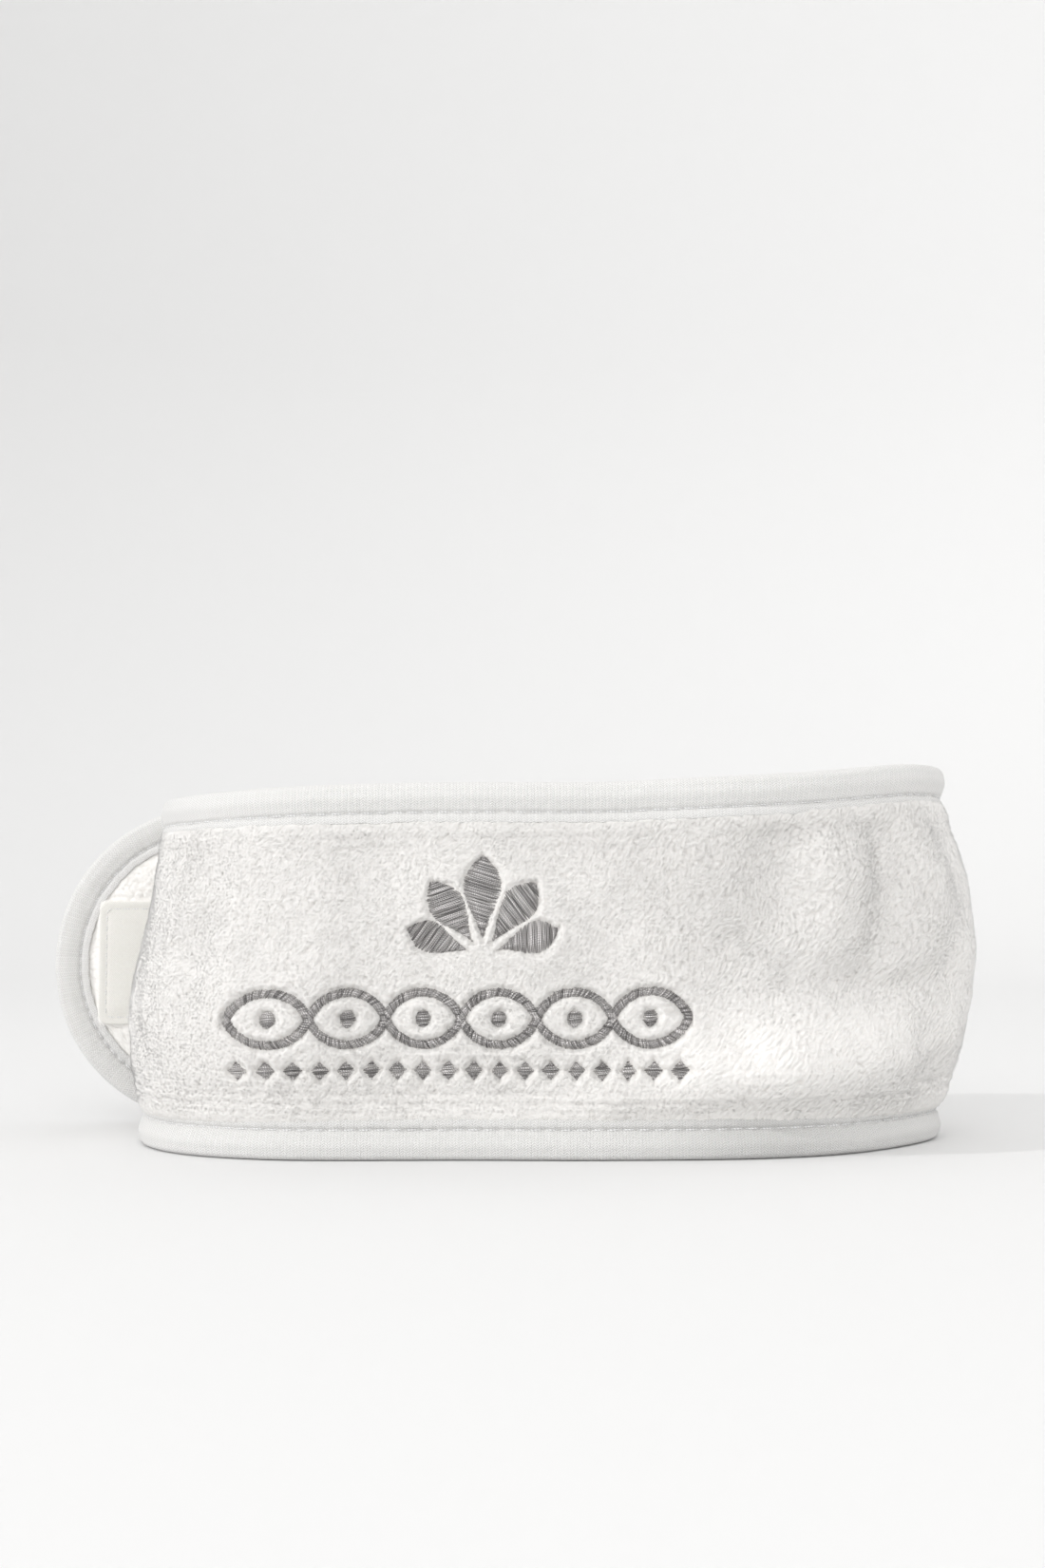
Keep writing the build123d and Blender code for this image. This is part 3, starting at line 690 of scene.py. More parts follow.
def tape_material(name, light, shade):
    """Herringbone twill: zigzag ribs 0.45 mm apart that turn every 0.85 mm."""
    m, nt, b = nodes_of(name)
    at = add(nt, "ShaderNodeAttribute", attribute_name="st")
    sep = add(nt, "ShaderNodeSeparateXYZ")
    link(nt, at.outputs["Vector"], sep.inputs[0])
    wob = add(nt, "ShaderNodeTexNoise", i_Scale=0.35, i_Detail=2.0)
    link(nt, at.outputs["Vector"], wob.inputs["Vector"])
    x = math_node(nt, "ADD", sep.outputs[0], math_node(nt, "MULTIPLY", wob.outputs["Fac"], 0.5))
    zig = math_node(nt, "PINGPONG", x, 0.78)
    y = math_node(nt, "ADD", math_node(nt, "MULTIPLY", zig, 0.85), sep.outputs[1])
    rib = math_node(nt, "SINE", math_node(nt, "MULTIPLY", y, 2 * PI / 0.62))
    thread = math_node(nt, "SINE", math_node(nt, "MULTIPLY", sep.outputs[0], 2 * PI / 0.39))
    turn = math_node(nt, "ABSOLUTE", math_node(nt, "SUBTRACT", zig, 0.39))
    valley = math_node(nt, "MULTIPLY", math_node(nt, "POWER", math_node(nt, "MULTIPLY", turn, 2.56), 5.0), -0.9)
    column = math_node(nt, "SIGN", math_node(nt, "SINE", math_node(nt, "MULTIPLY", x, PI / 0.78)))
    h = math_node(nt, "ADD", math_node(nt, "MULTIPLY", rib, 0.7), valley)
    h = math_node(nt, "ADD", h, math_node(nt, "MULTIPLY", thread, 0.14))
    fuzz = add(nt, "ShaderNodeTexNoise", i_Scale=3.5, i_Detail=3.0)
    link(nt, at.outputs["Vector"], fuzz.inputs["Vector"])
    h = math_node(nt, "ADD", h, math_node(nt, "MULTIPLY", fuzz.outputs["Fac"], 0.5))
    slow = add(nt, "ShaderNodeTexNoise", i_Scale=0.05, i_Detail=2.0)
    link(nt, at.outputs["Vector"], slow.inputs["Vector"])
    c = mixed(nt, slow.outputs["Fac"], light, shade)
    # painted shade: darker, to 0.82 of the shade colour, in the low parts of the weave
    dip = math_node(nt, "MULTIPLY_ADD", h, 0.5)
    dip.node.inputs[2].default_value = 0.15
    c = mixed(nt, ramp(nt, dip, [(0.0, (1, 1, 1)), (0.5, (0, 0, 0))]), c,
              (shade[0] * 0.82, shade[1] * 0.815, shade[2] * 0.81))
    c = times_painted_light(nt, c)
    lit = math_node(nt, "MULTIPLY_ADD", column, 0.022)
    lit.node.inputs[2].default_value = 0.03
    c = mixed(nt, lit, c, (shade[0] * 0.5, shade[1] * 0.5, shade[2] * 0.5))
    link(nt, c, b.inputs["Base Color"])
    link(nt, bump(nt, h, 0.9, 0.00011), b.inputs["Normal"])
    b.inputs["Roughness"].default_value = 0.78
    b.inputs["Sheen Weight"].default_value = 0.15
    b.inputs["Specular IOR Level"].default_value = 0.3
    return m


def thread_material(name, light, dark, metallic, rough, twist, lift=1.0):
    """Twisted thread: fine diagonal strands along each stitch, every stitch its own tone."""
    m, nt, b = nodes_of(name)
    at = add(nt, "ShaderNodeAttribute", attribute_name="st")
    sep = add(nt, "ShaderNodeSeparateXYZ")
    link(nt, at.outputs["Vector"], sep.inputs[0])
    ang = math_node(nt, "ADD", math_node(nt, "MULTIPLY", sep.outputs[0], 2 * PI / twist), sep.outputs[1])
    strand = math_node(nt, "SINE", ang)
    rnd = add(nt, "ShaderNodeAttribute", attribute_name="rnd")
    c = mixed(nt, rnd.outputs["Fac"], dark, light)
    # painted shade in the grooves between the twisted strands
    c = mixed(nt, ramp(nt, math_node(nt, "MULTIPLY_ADD", strand, 0.5), [(0.0, (0.6, 0.6, 0.6)), (0.7, (0, 0, 0))]), c,
              (dark[0] * 0.6, dark[1] * 0.6, dark[2] * 0.6))
    link(nt, c, b.inputs["Base Color"])
    link(nt, bump(nt, strand, 0.5 * lift, 0.00008), b.inputs["Normal"])
    b.inputs["Metallic"].default_value = metallic
    b.inputs["Roughness"].default_value = rough
    b.inputs["Specular IOR Level"].default_value = 0.5
    return m


def patch_material(name, light, shade, pitch, strength):
    """Woven ground of a fastening tape: plain weave with rows of loops or hooks."""
    m, nt, b = nodes_of(name)
    at = add(nt, "ShaderNodeAttribute", attribute_name="st")
    sep = add(nt, "ShaderNodeSeparateXYZ")
    link(nt, at.outputs["Vector"], sep.inputs[0])
    wx = math_node(nt, "SINE", math_node(nt, "MULTIPLY", sep.outputs[0], 2 * PI / pitch))
    wy = math_node(nt, "SINE", math_node(nt, "MULTIPLY", sep.outputs[1], 2 * PI / pitch))
    w = math_node(nt, "MULTIPLY", wx, wy)
    grit = add(nt, "ShaderNodeTexNoise", i_Scale=2.2, i_Detail=4.0)
    link(nt, at.outputs["Vector"], grit.inputs["Vector"])
    h = math_node(nt, "ADD", math_node(nt, "MULTIPLY", w, 0.5), grit.outputs["Fac"])
    slow = add(nt, "ShaderNodeTexNoise", i_Scale=0.12, i_Detail=3.0)
    link(nt, at.outputs["Vector"], slow.inputs["Vector"])
    c = mixed(nt, slow.outputs["Fac"], light, shade)
    # painted shade: darker, to 0.86 of the shade colour, in the low parts of the weave
    c = mixed(nt, ramp(nt, h, [(0.1, (0.7, 0.7, 0.7)), (0.6, (0, 0, 0))]), c, tuple(0.86 * q for q in shade))
    link(nt, c, b.inputs["Base Color"])
    link(nt, bump(nt, h, strength, 0.0002), b.inputs["Normal"])
    b.inputs["Roughness"].default_value = 0.6
    b.inputs["Sheen Weight"].default_value = 0.1
    return m


# Each pile's third colour is painted shade between the tufts, its first two a slow random drift; each fibre's darker
# colour is reached by random tone and painted shade.
PLUSH = pile_material("plush_pile", (0.875, 0.863, 0.845), (0.855, 0.843, 0.825), (0.775, 0.752, 0.725), 0.22, 0.42)
PLUSH_FIBRE = fibre_material("plush_fibre", (0.965, 0.955, 0.942), (0.80, 0.786, 0.765))
TERRY = pile_material("terry_loops", (0.905, 0.895, 0.875), (0.88, 0.868, 0.845), (0.79, 0.77, 0.74), 0.15, 0.5)
TERRY_FIBRE = fibre_material("terry_fibre", (0.98, 0.97, 0.95), (0.82, 0.805, 0.78))
TAPE = tape_material("herringbone_tape", (0.945, 0.94, 0.93), (0.925, 0.92, 0.91))
SEW = thread_material("sewing_thread", (0.93, 0.93, 0.93), (0.86, 0.86, 0.86), 0.0, 0.55, 0.8)
SILVER = thread_material("silver_thread", (0.80, 0.775, 0.77), (0.20, 0.192, 0.19), 0.6, 0.32, 0.55)
HOOKTAPE = patch_material("hook_tape", (0.90, 0.888, 0.85), (0.87, 0.855, 0.81), 0.6, 0.6)
LOOPTAPE = patch_material("loop_tape", (0.90, 0.895, 0.88), (0.875, 0.87, 0.85), 0.7, 0.8)
FELT = patch_material("stabiliser_felt", (0.88, 0.88, 0.87), (0.85, 0.85, 0.84), 1.3, 0.5)

# ------------------------------------------------------------------ plush and lining

rng = np.random.default_rng(20240611)
NAMES = ["inner_end", "left_side", "front", "right_side", "tab"]
OUT_NODES = [("outer_panel_inner_end",), ("outer_panel_left_side",), ("outer_panel_front",),
             ("outer_panel_right_side",), ("outer_panel_back", "outer_panel_tab")]
IN_NODES = [("lining_inner_end",), ("lining_left_side",), ("lining_front",),
            ("lining_right_side",), ("lining_back", "lining_tab")]
FINE = [0.52, 0.36, 0.36, 0.46, 0.52]


def panel(k, side):
    """Piece k of the outer plush (side 1) or the lining (side -1), with its pile."""
    coarse = 1.0
    d = (FINE[k] if side > 0 else 0.62) * coarse
    S, V = strap_grid(CUTS[k], CUTS[k + 1], d, d)
    if side > 0:
        U, deep = outer_height(S, V)
    else:
        U, deep = inner_height(S, V)
    P = place(S, V, U)
    # normals come from a wider grid, so neighbouring pieces shade as one
    first, last = S[:1] - 0.3, S[-1:] + 0.3
    Se, Ve = np.concatenate([first, S, last]), np.concatenate([V[:1], V, V[-1:]])
    Ue = (outer_height(Se, Ve) if side > 0 else inner_height(Se, Ve))[0]
    N = grid_normals(place(Se, Ve, Ue), flip=side < 0)[1:-1]
    st = np.stack([S, V, np.full(S.shape, 0.0 if side > 0 else 40.0)], -1)
    label = ("plush_" if side > 0 else "terry_") + NAMES[k]
    # The nap attribute is painted light and shade: on the plush the pile's painted tone factor, on the lining painted
    # light, up to 7 % paler toward the tab.
    ob = make_mesh(label, P, grid_faces(*S.shape, flip=side < 0),
                   [("st", "FLOAT_VECTOR", st), ("deep", "FLOAT", deep),
                    ("nap", "FLOAT", pile_painted_light_and_shade(S, V) if side > 0 else 1 + 0.07 * smooth(S, 480, 530))],
                   PLUSH if side > 0 else TERRY, N)
    fasten(ob, k, *(OUT_NODES if side > 0 else IN_NODES)[k])
    return ob


def spikes(name, root, direction, length, width, normal, tone, mat):
    """Short tapered fibres, each a closed four-sided spike."""
    n = len(root)
    direction = direction / np.linalg.norm(direction, axis=-1, keepdims=True)
    side = np.cross(direction, UP + 0.01)
    side /= np.maximum(np.linalg.norm(side, axis=-1, keepdims=True), 1e-9)
    other = np.cross(direction, side)
    w = (width / 2)[:, None]
    a, b, c = root + side * w, root - 0.5 * side * w + 0.87 * other * w, root - 0.5 * side * w - 0.87 * other * w
    tip = root + direction * length[:, None]
    co = np.stack([a, b, c, tip], 1)
    i = np.arange(n)[:, None] * 4
    f = np.concatenate([i + [0, 1, 3], i + [1, 2, 3], i + [2, 0, 3], i + [0, 2, 1]], 0)
    mid = (root + direction * 0.33 * length[:, None])[:, None]
    nn = co - mid
    nn /= np.maximum(np.linalg.norm(nn, axis=-1, keepdims=True), 1e-12)
    nn = 0.45 * nn + 1.0 * normal[:, None] + 0.25 * direction[:, None]
    ob = make_mesh(name, co.reshape(-1, 3), f, [("rnd", "FLOAT", np.repeat(tone, 4))], mat, nn.reshape(-1, 3))
    return ob


def fibres(k, side, count, longest, layer=""):
    s0, s1 = max(CUTS[k], 8.6), min(CUTS[k + 1], TOTAL - 8.6)
    s = rng.uniform(s0, s1, int(count * 1.35))
    v = rng.uniform(8.4, 81.6, len(s))
    keep = edge_in(s, v) > -0.4
    if side > 0:
        xs = np.interp(s, PS, PX)
        d = np.where((s > 150) & (s < 285), stitch_distance(xs, v), 9.0)
        keep &= d > 0.1
        keep &= calm_patch(s, v, LOOP_S, 43) < 0.3
    else:
        d = np.full(s.shape, 9.0)
        keep &= calm_patch(s, v, HOOK_S, 100) < 0.3
    s, v, d = s[keep][:count], v[keep][:count], d[keep][:count]
    height = outer_height if side > 0 else inner_height
    u0, deep = height(s, v)
    us, _ = height(s + 0.3, v)
    uv, _ = height(s, v + 0.3)
    # the tuft each fibre belongs to pulls its tip in
    wx, wy = 0.5 * noise(s / 2.9, v / 2.9, 11), 0.5 * noise(s / 2.9, v / 2.9, 13)
    d1, _, cx, cy = cells((s + wx) / 1.0, (v + wy) / 1.0, 51)
    pull_s, pull_v = (cx - (s + wx) / 1.0), (cy - (v + wy) / 1.0)
    flow = LIE + 0.9 * noise(s / 14, v / 14, 15) + 0.6 * noise(s / 4, v / 4, 52)
    e = edge_in(s, v)
    lie_s = 0.85 * np.cos(flow) + 0.7 * pull_s + rng.normal(0, 0.2, len(s))
    lie_v = 0.85 * np.sin(flow) + 0.7 * pull_v + rng.normal(0, 0.2, len(s))
    calm = smooth(e, -0.5, 3)
    lie_v = lie_v * (0.7 + 0.3 * calm)
    out, fwd = outward(s) * side, along(s)
    n = out - fwd * ((us - u0) / 0.3)[:, None] * side - UP * ((uv - u0) / 0.3)[:, None] * side
    n /= np.linalg.norm(n, axis=-1, keepdims=True)
    stand = 0.75 if side > 0 else 0.9
    direction = n * stand + out * 0.25 + fwd * lie_s[:, None] + UP * lie_v[:, None]
    root = place(s, v, u0 - 0.28 * side)
    length = longest * rng.uniform(0.55, 1.0, len(s)) * (0.7 + 0.3 * smooth(e, 0, 3)) * (0.7 + 0.3 * smooth(d, 0.2, 2.0))
    if side > 0:  # shorter where the pile's painted light is palest
        length = length * (1 - 0.3 * np.clip((pile_painted_light_and_shade(s, v) - 1) / 0.12, 0, 1))
    # Fibre tone: random, with painted shade where the fibre stands between the tufts; on the plush also the pile's
    # painted light and shade, on the lining painted light toward the tab.
    tone = 0.16 + 0.44 * rng.uniform(0.25, 1, len(s)) * (0.5 + 0.6 * deep)
    tone = np.clip(tone + (5.5 * (pile_painted_light_and_shade(s, v) - 1) if side > 0 else 0.2 * smooth(s, 480, 530)), 0, 1)
    width = (0.13 if side > 0 else 0.17) * rng.uniform(0.7, 1.2, len(s)) * MM
    label = ("plush_pile_" if side > 0 else "terry_pile_") + NAMES[k] + layer
    ob = spikes(label, root, direction, length * MM, width, n, tone, PLUSH_FIBRE if side > 0 else TERRY_FIBRE)
    fasten(ob, k)
    return ob


for k in range(5):
    panel(k, 1)
    panel(k, -1)
    fibres(k, 1, [42000, 49500, 49500, 44500, 39500][k], 1.3)
    fibres(k, 1, [42000, 49500, 49500, 44500, 39500][k], 1.15, "_under")
    if k == 4:
        fibres(k, 1, 39500, 1.2, "_mid")
    fibres(k, -1, [17000, 19500, 20500, 17500, 22500][k], 0.85)




def stabiliser():
    """The felt between the two layers, behind the embroidery."""
    s, v = np.linspace(154.3, 279.1, 90), np.linspace(12, 78, 48)
    S, V = np.meshgrid(s, v, indexing="ij")
    mid = 0.5 * (form_out(S, V) - 1.2) + 0.5 * (form_in(S, V) + 0.8)
    n = S.size
    front, rear = place(S, V, mid + 0.15), place(S, V, mid - 0.15)
    f1 = grid_faces(90, 48, flip=False)
    f2 = grid_faces(90, 48, flip=True) + n
    i = np.arange(n).reshape(90, 48)
    rim = np.concatenate([i[:, 0], i[-1, 1:], i[-2::-1, -1], i[0, -2:0:-1]])
    nxt = np.roll(rim, -1)
    f3 = np.stack([rim, rim + n, nxt + n, nxt], -1)
    st = np.stack([S, V, 0 * S], -1).reshape(-1, 3)
    ob = make_mesh("stabiliser", np.concatenate([front.reshape(-1, 3), rear.reshape(-1, 3)]),
                   np.concatenate([f1, f2, f3]), [("st", "FLOAT_VECTOR", np.concatenate([st, st]))], FELT)
    import bmesh
    bm = bmesh.new()
    bm.from_mesh(ob.data)
    bmesh.ops.recalc_face_normals(bm, faces=bm.faces)
    bm.to_mesh(ob.data)
    bm.free()
    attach(ob, "front")
    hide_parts("embroidery_backing")
    return ob


stabiliser()

# --------------------------------------------------------------------- edge binding
# The outline of the strap as a line of (s, v) with its inward direction.


def outline(t0, t1, edge, step):
    """edge 'low' or 'high': a straight run.  'tab' or 'inner': low run, round the tip, high run."""
    if edge in ("low", "high"):
        s = np.linspace(t0, t1, max(2, int(abs(t1 - t0) / step)))
        v = np.full(s.shape, 0.0 if edge == "low" else 90.0)
        return s, v, np.zeros(s.shape), np.full(s.shape, 1.0 if edge == "low" else -1.0), s.copy()
    c = TOTAL - 45 if edge == "tab" else 45.0
    sign = 1 if edge == "tab" else -1
    run = abs((t0 if edge == "tab" else t1) - c)
    n1 = int(run / step)
    a = np.linspace(0, run, n1, endpoint=False)
    arc = np.linspace(0, PI, int(45 * PI / step))
    b = np.linspace(0, run, n1 + 1)[1:]
    s = np.concatenate([c - sign * (run - a), c + sign * 45 * np.sin(arc), c - sign * b])
    v = np.concatenate([np.zeros(n1), 45 - 45 * np.cos(arc), np.full(n1, 90.0)])
    ds = np.concatenate([np.zeros(n1), -sign * np.sin(arc), np.zeros(n1)])
    dv = np.concatenate([np.ones(n1), np.cos(arc), -np.ones(n1)])
    length = np.concatenate([[0], np.cumsum(np.hypot(np.diff(s), np.diff(v)))])
    base = (t0 if edge == "tab" else t1)
    return s, v, ds, dv, base + sign * length


PITCH = 3.7


def fold_section():
    """Cross-section of the folded tape: (in from the edge, outward, how far round)."""

    def leg(a, dome):
        groove = -0.62 * math.exp(-(((a - 7.3) / 0.5) ** 2))
        return 2.02 + dome * math.exp(-(((a - 3.5) / 2.25) ** 2)) + groove + 0.22 * smooth(a, 7.6, 8.6)

    pts = [(9.55, 1.72), (9.85, 1.9), (9.9, 2.1)]
    pts += [(a, leg(a, 1.0)) for a in np.concatenate([np.linspace(9.7, 8.1, 5), np.linspace(7.85, 6.75, 8), np.linspace(6.4, 2.3, 11)])]
    top, low = leg(2.3, 1.0), leg(2.3, 0.7)
    for t in np.linspace(0, PI, 17)[1:-1]:
        pts.append((2.3 - 2.3 * math.sin(t) ** 0.8, (top - low) / 2 + (top + low) / 2 * math.cos(t)))
    pts += [(a, -leg(a, 0.7) + 0.12) for a in np.concatenate([np.linspace(2.3, 6.4, 11), np.linspace(6.75, 7.85, 8), np.linspace(8.1, 9.7, 5)])]
    pts += [(9.9, -1.98), (9.85, -1.8), (9.55, -1.6)]
    pts += [(a, -1.0) for a in (9.2, 7.3, 4.5, 1.6)] + [(a, 1.05) for a in (1.6, 4.5, 7.3, 9.2)]
    return pts


SECTION = fold_section()
ROUND = np.concatenate([[0], np.cumsum([math.dist(SECTION[i], SECTION[i + 1]) for i in range(len(SECTION) - 1)])])
ROUND = ROUND - ROUND[27]


def binding(name, k, t0, t1, edge, nodes):
    s, v, ds, dv, t = outline(t0, t1, edge, 0.55)
    A = np.array([p[0] for p in SECTION])
    U = np.array([p[1] for p in SECTION])
    outer = (U > 1.3).astype(float) - (U < -1.2).astype(float)
    T = t[:, None]
    beat = np.cos(2 * PI * T / PITCH)
    off = A[None] - 7.3
    pucker = -0.09 * beat * np.exp(-((off / 1.6) ** 2)) - 0.28 * np.maximum(beat, 0) ** 6 * np.exp(-((off / 0.45) ** 2))
    ripple = 0.10 * noise(T / 6.0, A[None] / 4.0 + 3.0 * outer[None], 61) + 0.05 * noise(T / 2.1, A[None] / 2.0, 62)
    free_edge = 0.28 * noise(T / 5.0, outer[None] * 9.0, 63) * np.maximum(0, (A[None] - 6.0) / 3.3)
    u = U[None] + outer[None] * (pucker + ripple)
    a = A[None] + free_edge + 0.06 * np.cos(2 * PI * T / PITCH + 1.0) * np.maximum(0, (A[None] - 6) / 3.3)
    a = np.maximum(a, 0.0)
    S, V = s[:, None] + ds[:, None] * a, v[:, None] + dv[:, None] * a
    P = place(S, V, u + 0 * S)
    P[..., 2] = np.maximum(P[..., 2], 0.00002)
    flip = not (edge == "low" or edge in ("tab",))
    if edge == "high":
        flip = True
    if edge == "inner":
        flip = True
    if edge == "tab":
        flip = False
    N = None
    st = np.stack([np.broadcast_to(T, P.shape[:2]), np.broadcast_to(ROUND[None], P.shape[:2]),
                   np.zeros(P.shape[:2])], -1)
    f = grid_faces(*P.shape[:2], flip=not flip, closed=True)
    m = P.shape[1]
    # Painted light and shade on the tape: the upper tape 3 % paler than the lower, and the outer face of the lower tape
    # up to 15 % darker round s = 290, under the plush's bulge.
    nap = 1.0 + 0.03 * smooth(V, 14, 76) - 0.15 * np.exp(-(((S - 290) / 26) ** 2)) * (V < 14) * (outer[None] > 0)
    ob = make_mesh(name, P, f, [("st", "FLOAT_VECTOR", st), ("nap", "FLOAT", nap)], TAPE)
    # make the face normals point one way
    import bmesh
    bm = bmesh.new()
    bm.from_mesh(ob.data)
    bmesh.ops.recalc_face_normals(bm, faces=bm.faces)
    bm.to_mesh(ob.data)
    bm.free()
    fasten(ob, k, *nodes)
    return ob


binding("binding_inner_end", 0, 0, CUTS[1], "inner", ("binding_inner_end",))
for k, n in ((1, "left_side"), (2, "front"), (3, "right_side")):
    binding("lower_binding_" + n, k, CUTS[k], CUTS[k + 1], "low", ("lower_binding_" + n,))
    binding("upper_binding_" + n, k, CUTS[k], CUTS[k + 1], "high", ("upper_binding_" + n,))
binding("binding_tab", 4, CUTS[4], 0, "tab", ("lower_binding_back", "upper_binding_back", "binding_tab"))


# ----------------------------------------------------------------------------- thread


def tubes(name, centre, radius, side_dir, up_dir, tone, mat, sides=6, lengths=None):
    """Stitches as short closed tubes: centre is (n, rings, 3), radius (n, rings)."""
    n, r = centre.shape[:2]
    a = np.linspace(0, 2 * PI, sides, endpoint=False)
    ring = (centre[:, :, None] + radius[:, :, None, None]
            * (np.cos(a)[None, None, :, None] * side_dir[:, None, None] + np.sin(a)[None, None, :, None] * up_dir[:, None, None]))
    co = ring.reshape(n, r * sides, 3)
    i, j = np.meshgrid(np.arange(r - 1), np.arange(sides), indexing="ij")
    j1 = (j + 1) % sides
    quads = np.stack([i * sides + j, i * sides + j1, (i + 1) * sides + j1, (i + 1) * sides + j], -1).reshape(-1, 4)
    faces = (quads[None] + (np.arange(n) * r * sides)[:, None, None]).reshape(-1, 4)
    run = np.concatenate([np.zeros((n, 1)), np.cumsum(np.linalg.norm(np.diff(centre, axis=1), axis=-1), 1)], 1) / MM
    st = np.zeros((n, r, sides, 3))
    st[..., 0] = run[:, :, None] + np.arange(n)[:, None, None] * 1.7
    st[..., 1] = a[None, None]
    return make_mesh(name, co.reshape(-1, 3), faces,
                     [("st", "FLOAT_VECTOR", st), ("rnd", "FLOAT", np.repeat(tone, r * sides))], mat)


def seam(name, k, lines, nodes):
    """Rows of lock stitches: each sinks into the tape at both its needle holes."""
    C, R, SD, UD = [], [], [], []
    for s, v, ds, dv, t, side in lines:
        base = (1.40 if side > 0 else 1.28) + 0.16
        length = abs(t[-1] - t[0])
        order = np.argsort(t)
        t, s, v, ds, dv = t[order], s[order], v[order], ds[order], dv[order]
        first = math.ceil((t[0] + 0.3) / PITCH)
        last = math.floor((t[-1] - 3.4) / PITCH)
        starts = (np.arange(first, last + 1) + 0.5) * PITCH - PITCH / 2
        q = np.linspace(0, 1, 7)
        T = starts[:, None] + 0.25 + q[None] * (PITCH - 0.75)
        wob = 0.10 * noise(T / 9.0, T * 0 + side * 3.0, 71)
        A = 7.3 + wob + (q[None] - 0.5) * 0.12
        f = lambda arr: np.interp(T, t, arr)
        S, V = f(s) + f(ds) * A, f(v) + f(dv) * A
        arch = np.sin(PI * q) ** 0.6
        U = side * (base - 0.28 + 0.42 * arch[None] + 0 * T)
        P = place(S, V, U)
        C.append(P)
        R.append(np.broadcast_to((0.21 * (0.45 + 0.55 * arch[None])), T.shape) * MM)
        o = outward(f(s)[:, 3]) * side
        run = P[:, -1] - P[:, 0]
        run /= np.linalg.norm(run, axis=-1, keepdims=True)
        sd = np.cross(run, o)
        SD.append(sd / np.linalg.norm(sd, axis=-1, keepdims=True))
        UD.append(o)
    C, R, SD, UD = (np.concatenate(x) for x in (C, R, SD, UD))
    ob = tubes(name, C, R, SD, UD, rng.uniform(0, 1, len(C)), SEW)
    fasten(ob, k, *nodes)
    return ob


def seam_lines(k, edge_list, t0, t1):
    out = []
    for e in edge_list:
        for side in (1, -1):
            out.append((*outline(t0, t1, e, 0.5), side))
    return out


seam("binding_stitches_inner_end", 0, seam_lines(0, ["inner"], 0, CUTS[1]), ("binding_stitching_inner_end",))
for k, n, nd in ((1, "left_side", ("binding_stitching_left_side",)), (2, "front", ("binding_stitching_front",)),
                 (3, "right_side", ("binding_stitching_right_side",))):
    seam("binding_stitches_" + n, k, seam_lines(k, ["low", "high"], CUTS[k], CUTS[k + 1]), nd)
seam("binding_stitches_tab", 4, seam_lines(4, ["tab"], CUTS[4], 0), ("binding_stitching_back", "binding_stitching_tab"))


# ------------------------------------------------------------------------ embroidery


def emb_height(x, v):
    s = s_of_x(x)
    return form_out(s, v) - 0.85


def sew(name, ends, node, thick=0.2, arch=0.38):
    """Satin stitches from (x, v) to (x, v), arched over the cloth."""
    e = np.array(ends)
    n = len(e)
    e = e + rng.normal(0, 0.09, e.shape)
    q = np.linspace(0, 1, 6)
    X = e[:, 0:1] + (e[:, 2:3] - e[:, 0:1]) * q
    V = e[:, 1:2] + (e[:, 3:4] - e[:, 1:2]) * q
    span = np.hypot(e[:, 2] - e[:, 0], e[:, 3] - e[:, 1])
    a = np.sin(PI * q)[None] ** 0.7
    U = emb_height(X, V) - 0.35 + a * (arch + 0.07 * np.minimum(span, 6))[:, None] + rng.normal(0, 0.03, n)[:, None]
    S = s_of_x(X)
    P = place(S, V, U)
    R = (thick * (0.5 + 0.5 * a) * rng.uniform(0.85, 1.12, n)[:, None]) * MM
    o = outward(S[:, 3])
    run = P[:, -1] - P[:, 0]
    run /= np.maximum(np.linalg.norm(run, axis=-1, keepdims=True), 1e-9)
    sd = np.cross(run, o)
    sd /= np.maximum(np.linalg.norm(sd, axis=-1, keepdims=True), 1e-9)
    tone = np.clip(rng.normal(0.5, 0.3, n), 0, 1)
    ob = tubes(name, P, R, sd, o, tone, SILVER)
    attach(ob, "front")
    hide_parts(node)
    return ob


STEP = 0.36
ends = []
for turn, length, width in PETALS:
    t = math.radians(turn)
    ax, av = math.sin(t), math.cos(t)
    bx, bv = av, -ax
    fx, fv = LOTUS[0] + 3.6 * ax, LOTUS[1] + 3.6 * av
    for a in np.arange(0.6, length - 0.1, STEP):
        w = float(petal_half(a, length, width))
        a0, a1 = min(a + 0.3 * w, length), max(a - 0.3 * w, 0)
        w0, w1 = float(petal_half(a0, length, width)), float(petal_half(a1, length, width))
        ends.append((fx + ax * a0 - bx * w0, fv + av * a0 - bv * w0,
                     fx + ax * a1 + bx * w1, fv + av * a1 + bv * w1))
sew("embroidered_lotus", ends, "embroidered_lotus")

ends = []
half = math.asin(WAVE_L / 2 / ARC_R)
for c in WAVE_C:
    for sign in (1, -1):
        cv = WAVE_V - sign * (ARC_R - WAVE_A)
        for g in np.arange(-half, half + 1e-6, STEP / ARC_R):
            r0, r1 = ARC_R - STROKE / 2, ARC_R + STROKE / 2
            skew = 0.05
            ends.append((c + r0 * math.sin(g - skew), cv + sign * r0 * math.cos(g - skew),
                         c + r1 * math.sin(g + skew), cv + sign * r1 * math.cos(g + skew)))
    for y in np.arange(-1.75, 1.76, STEP):
        w = math.sqrt(max(3.6 - y * y, 0))
        ends.append((c - w, WAVE_V + y - 0.12, c + w, WAVE_V + y + 0.12))
sew("embroidered_wave_band", ends, "embroidered_wave_band", arch=0.45)

ends = []
for c in SEED_C:
    for y in np.arange(-SEED_R + 0.2, SEED_R - 0.1, STEP):
        w = SEED_R - abs(y)
        ends.append((c - w, SEED_V + y - 0.1, c + w, SEED_V + y + 0.1))
sew("embroidered_seed_row", ends, "embroidered_seed_row", thick=0.18, arch=0.3)


# --------------------------------------------------------------------- the fastening


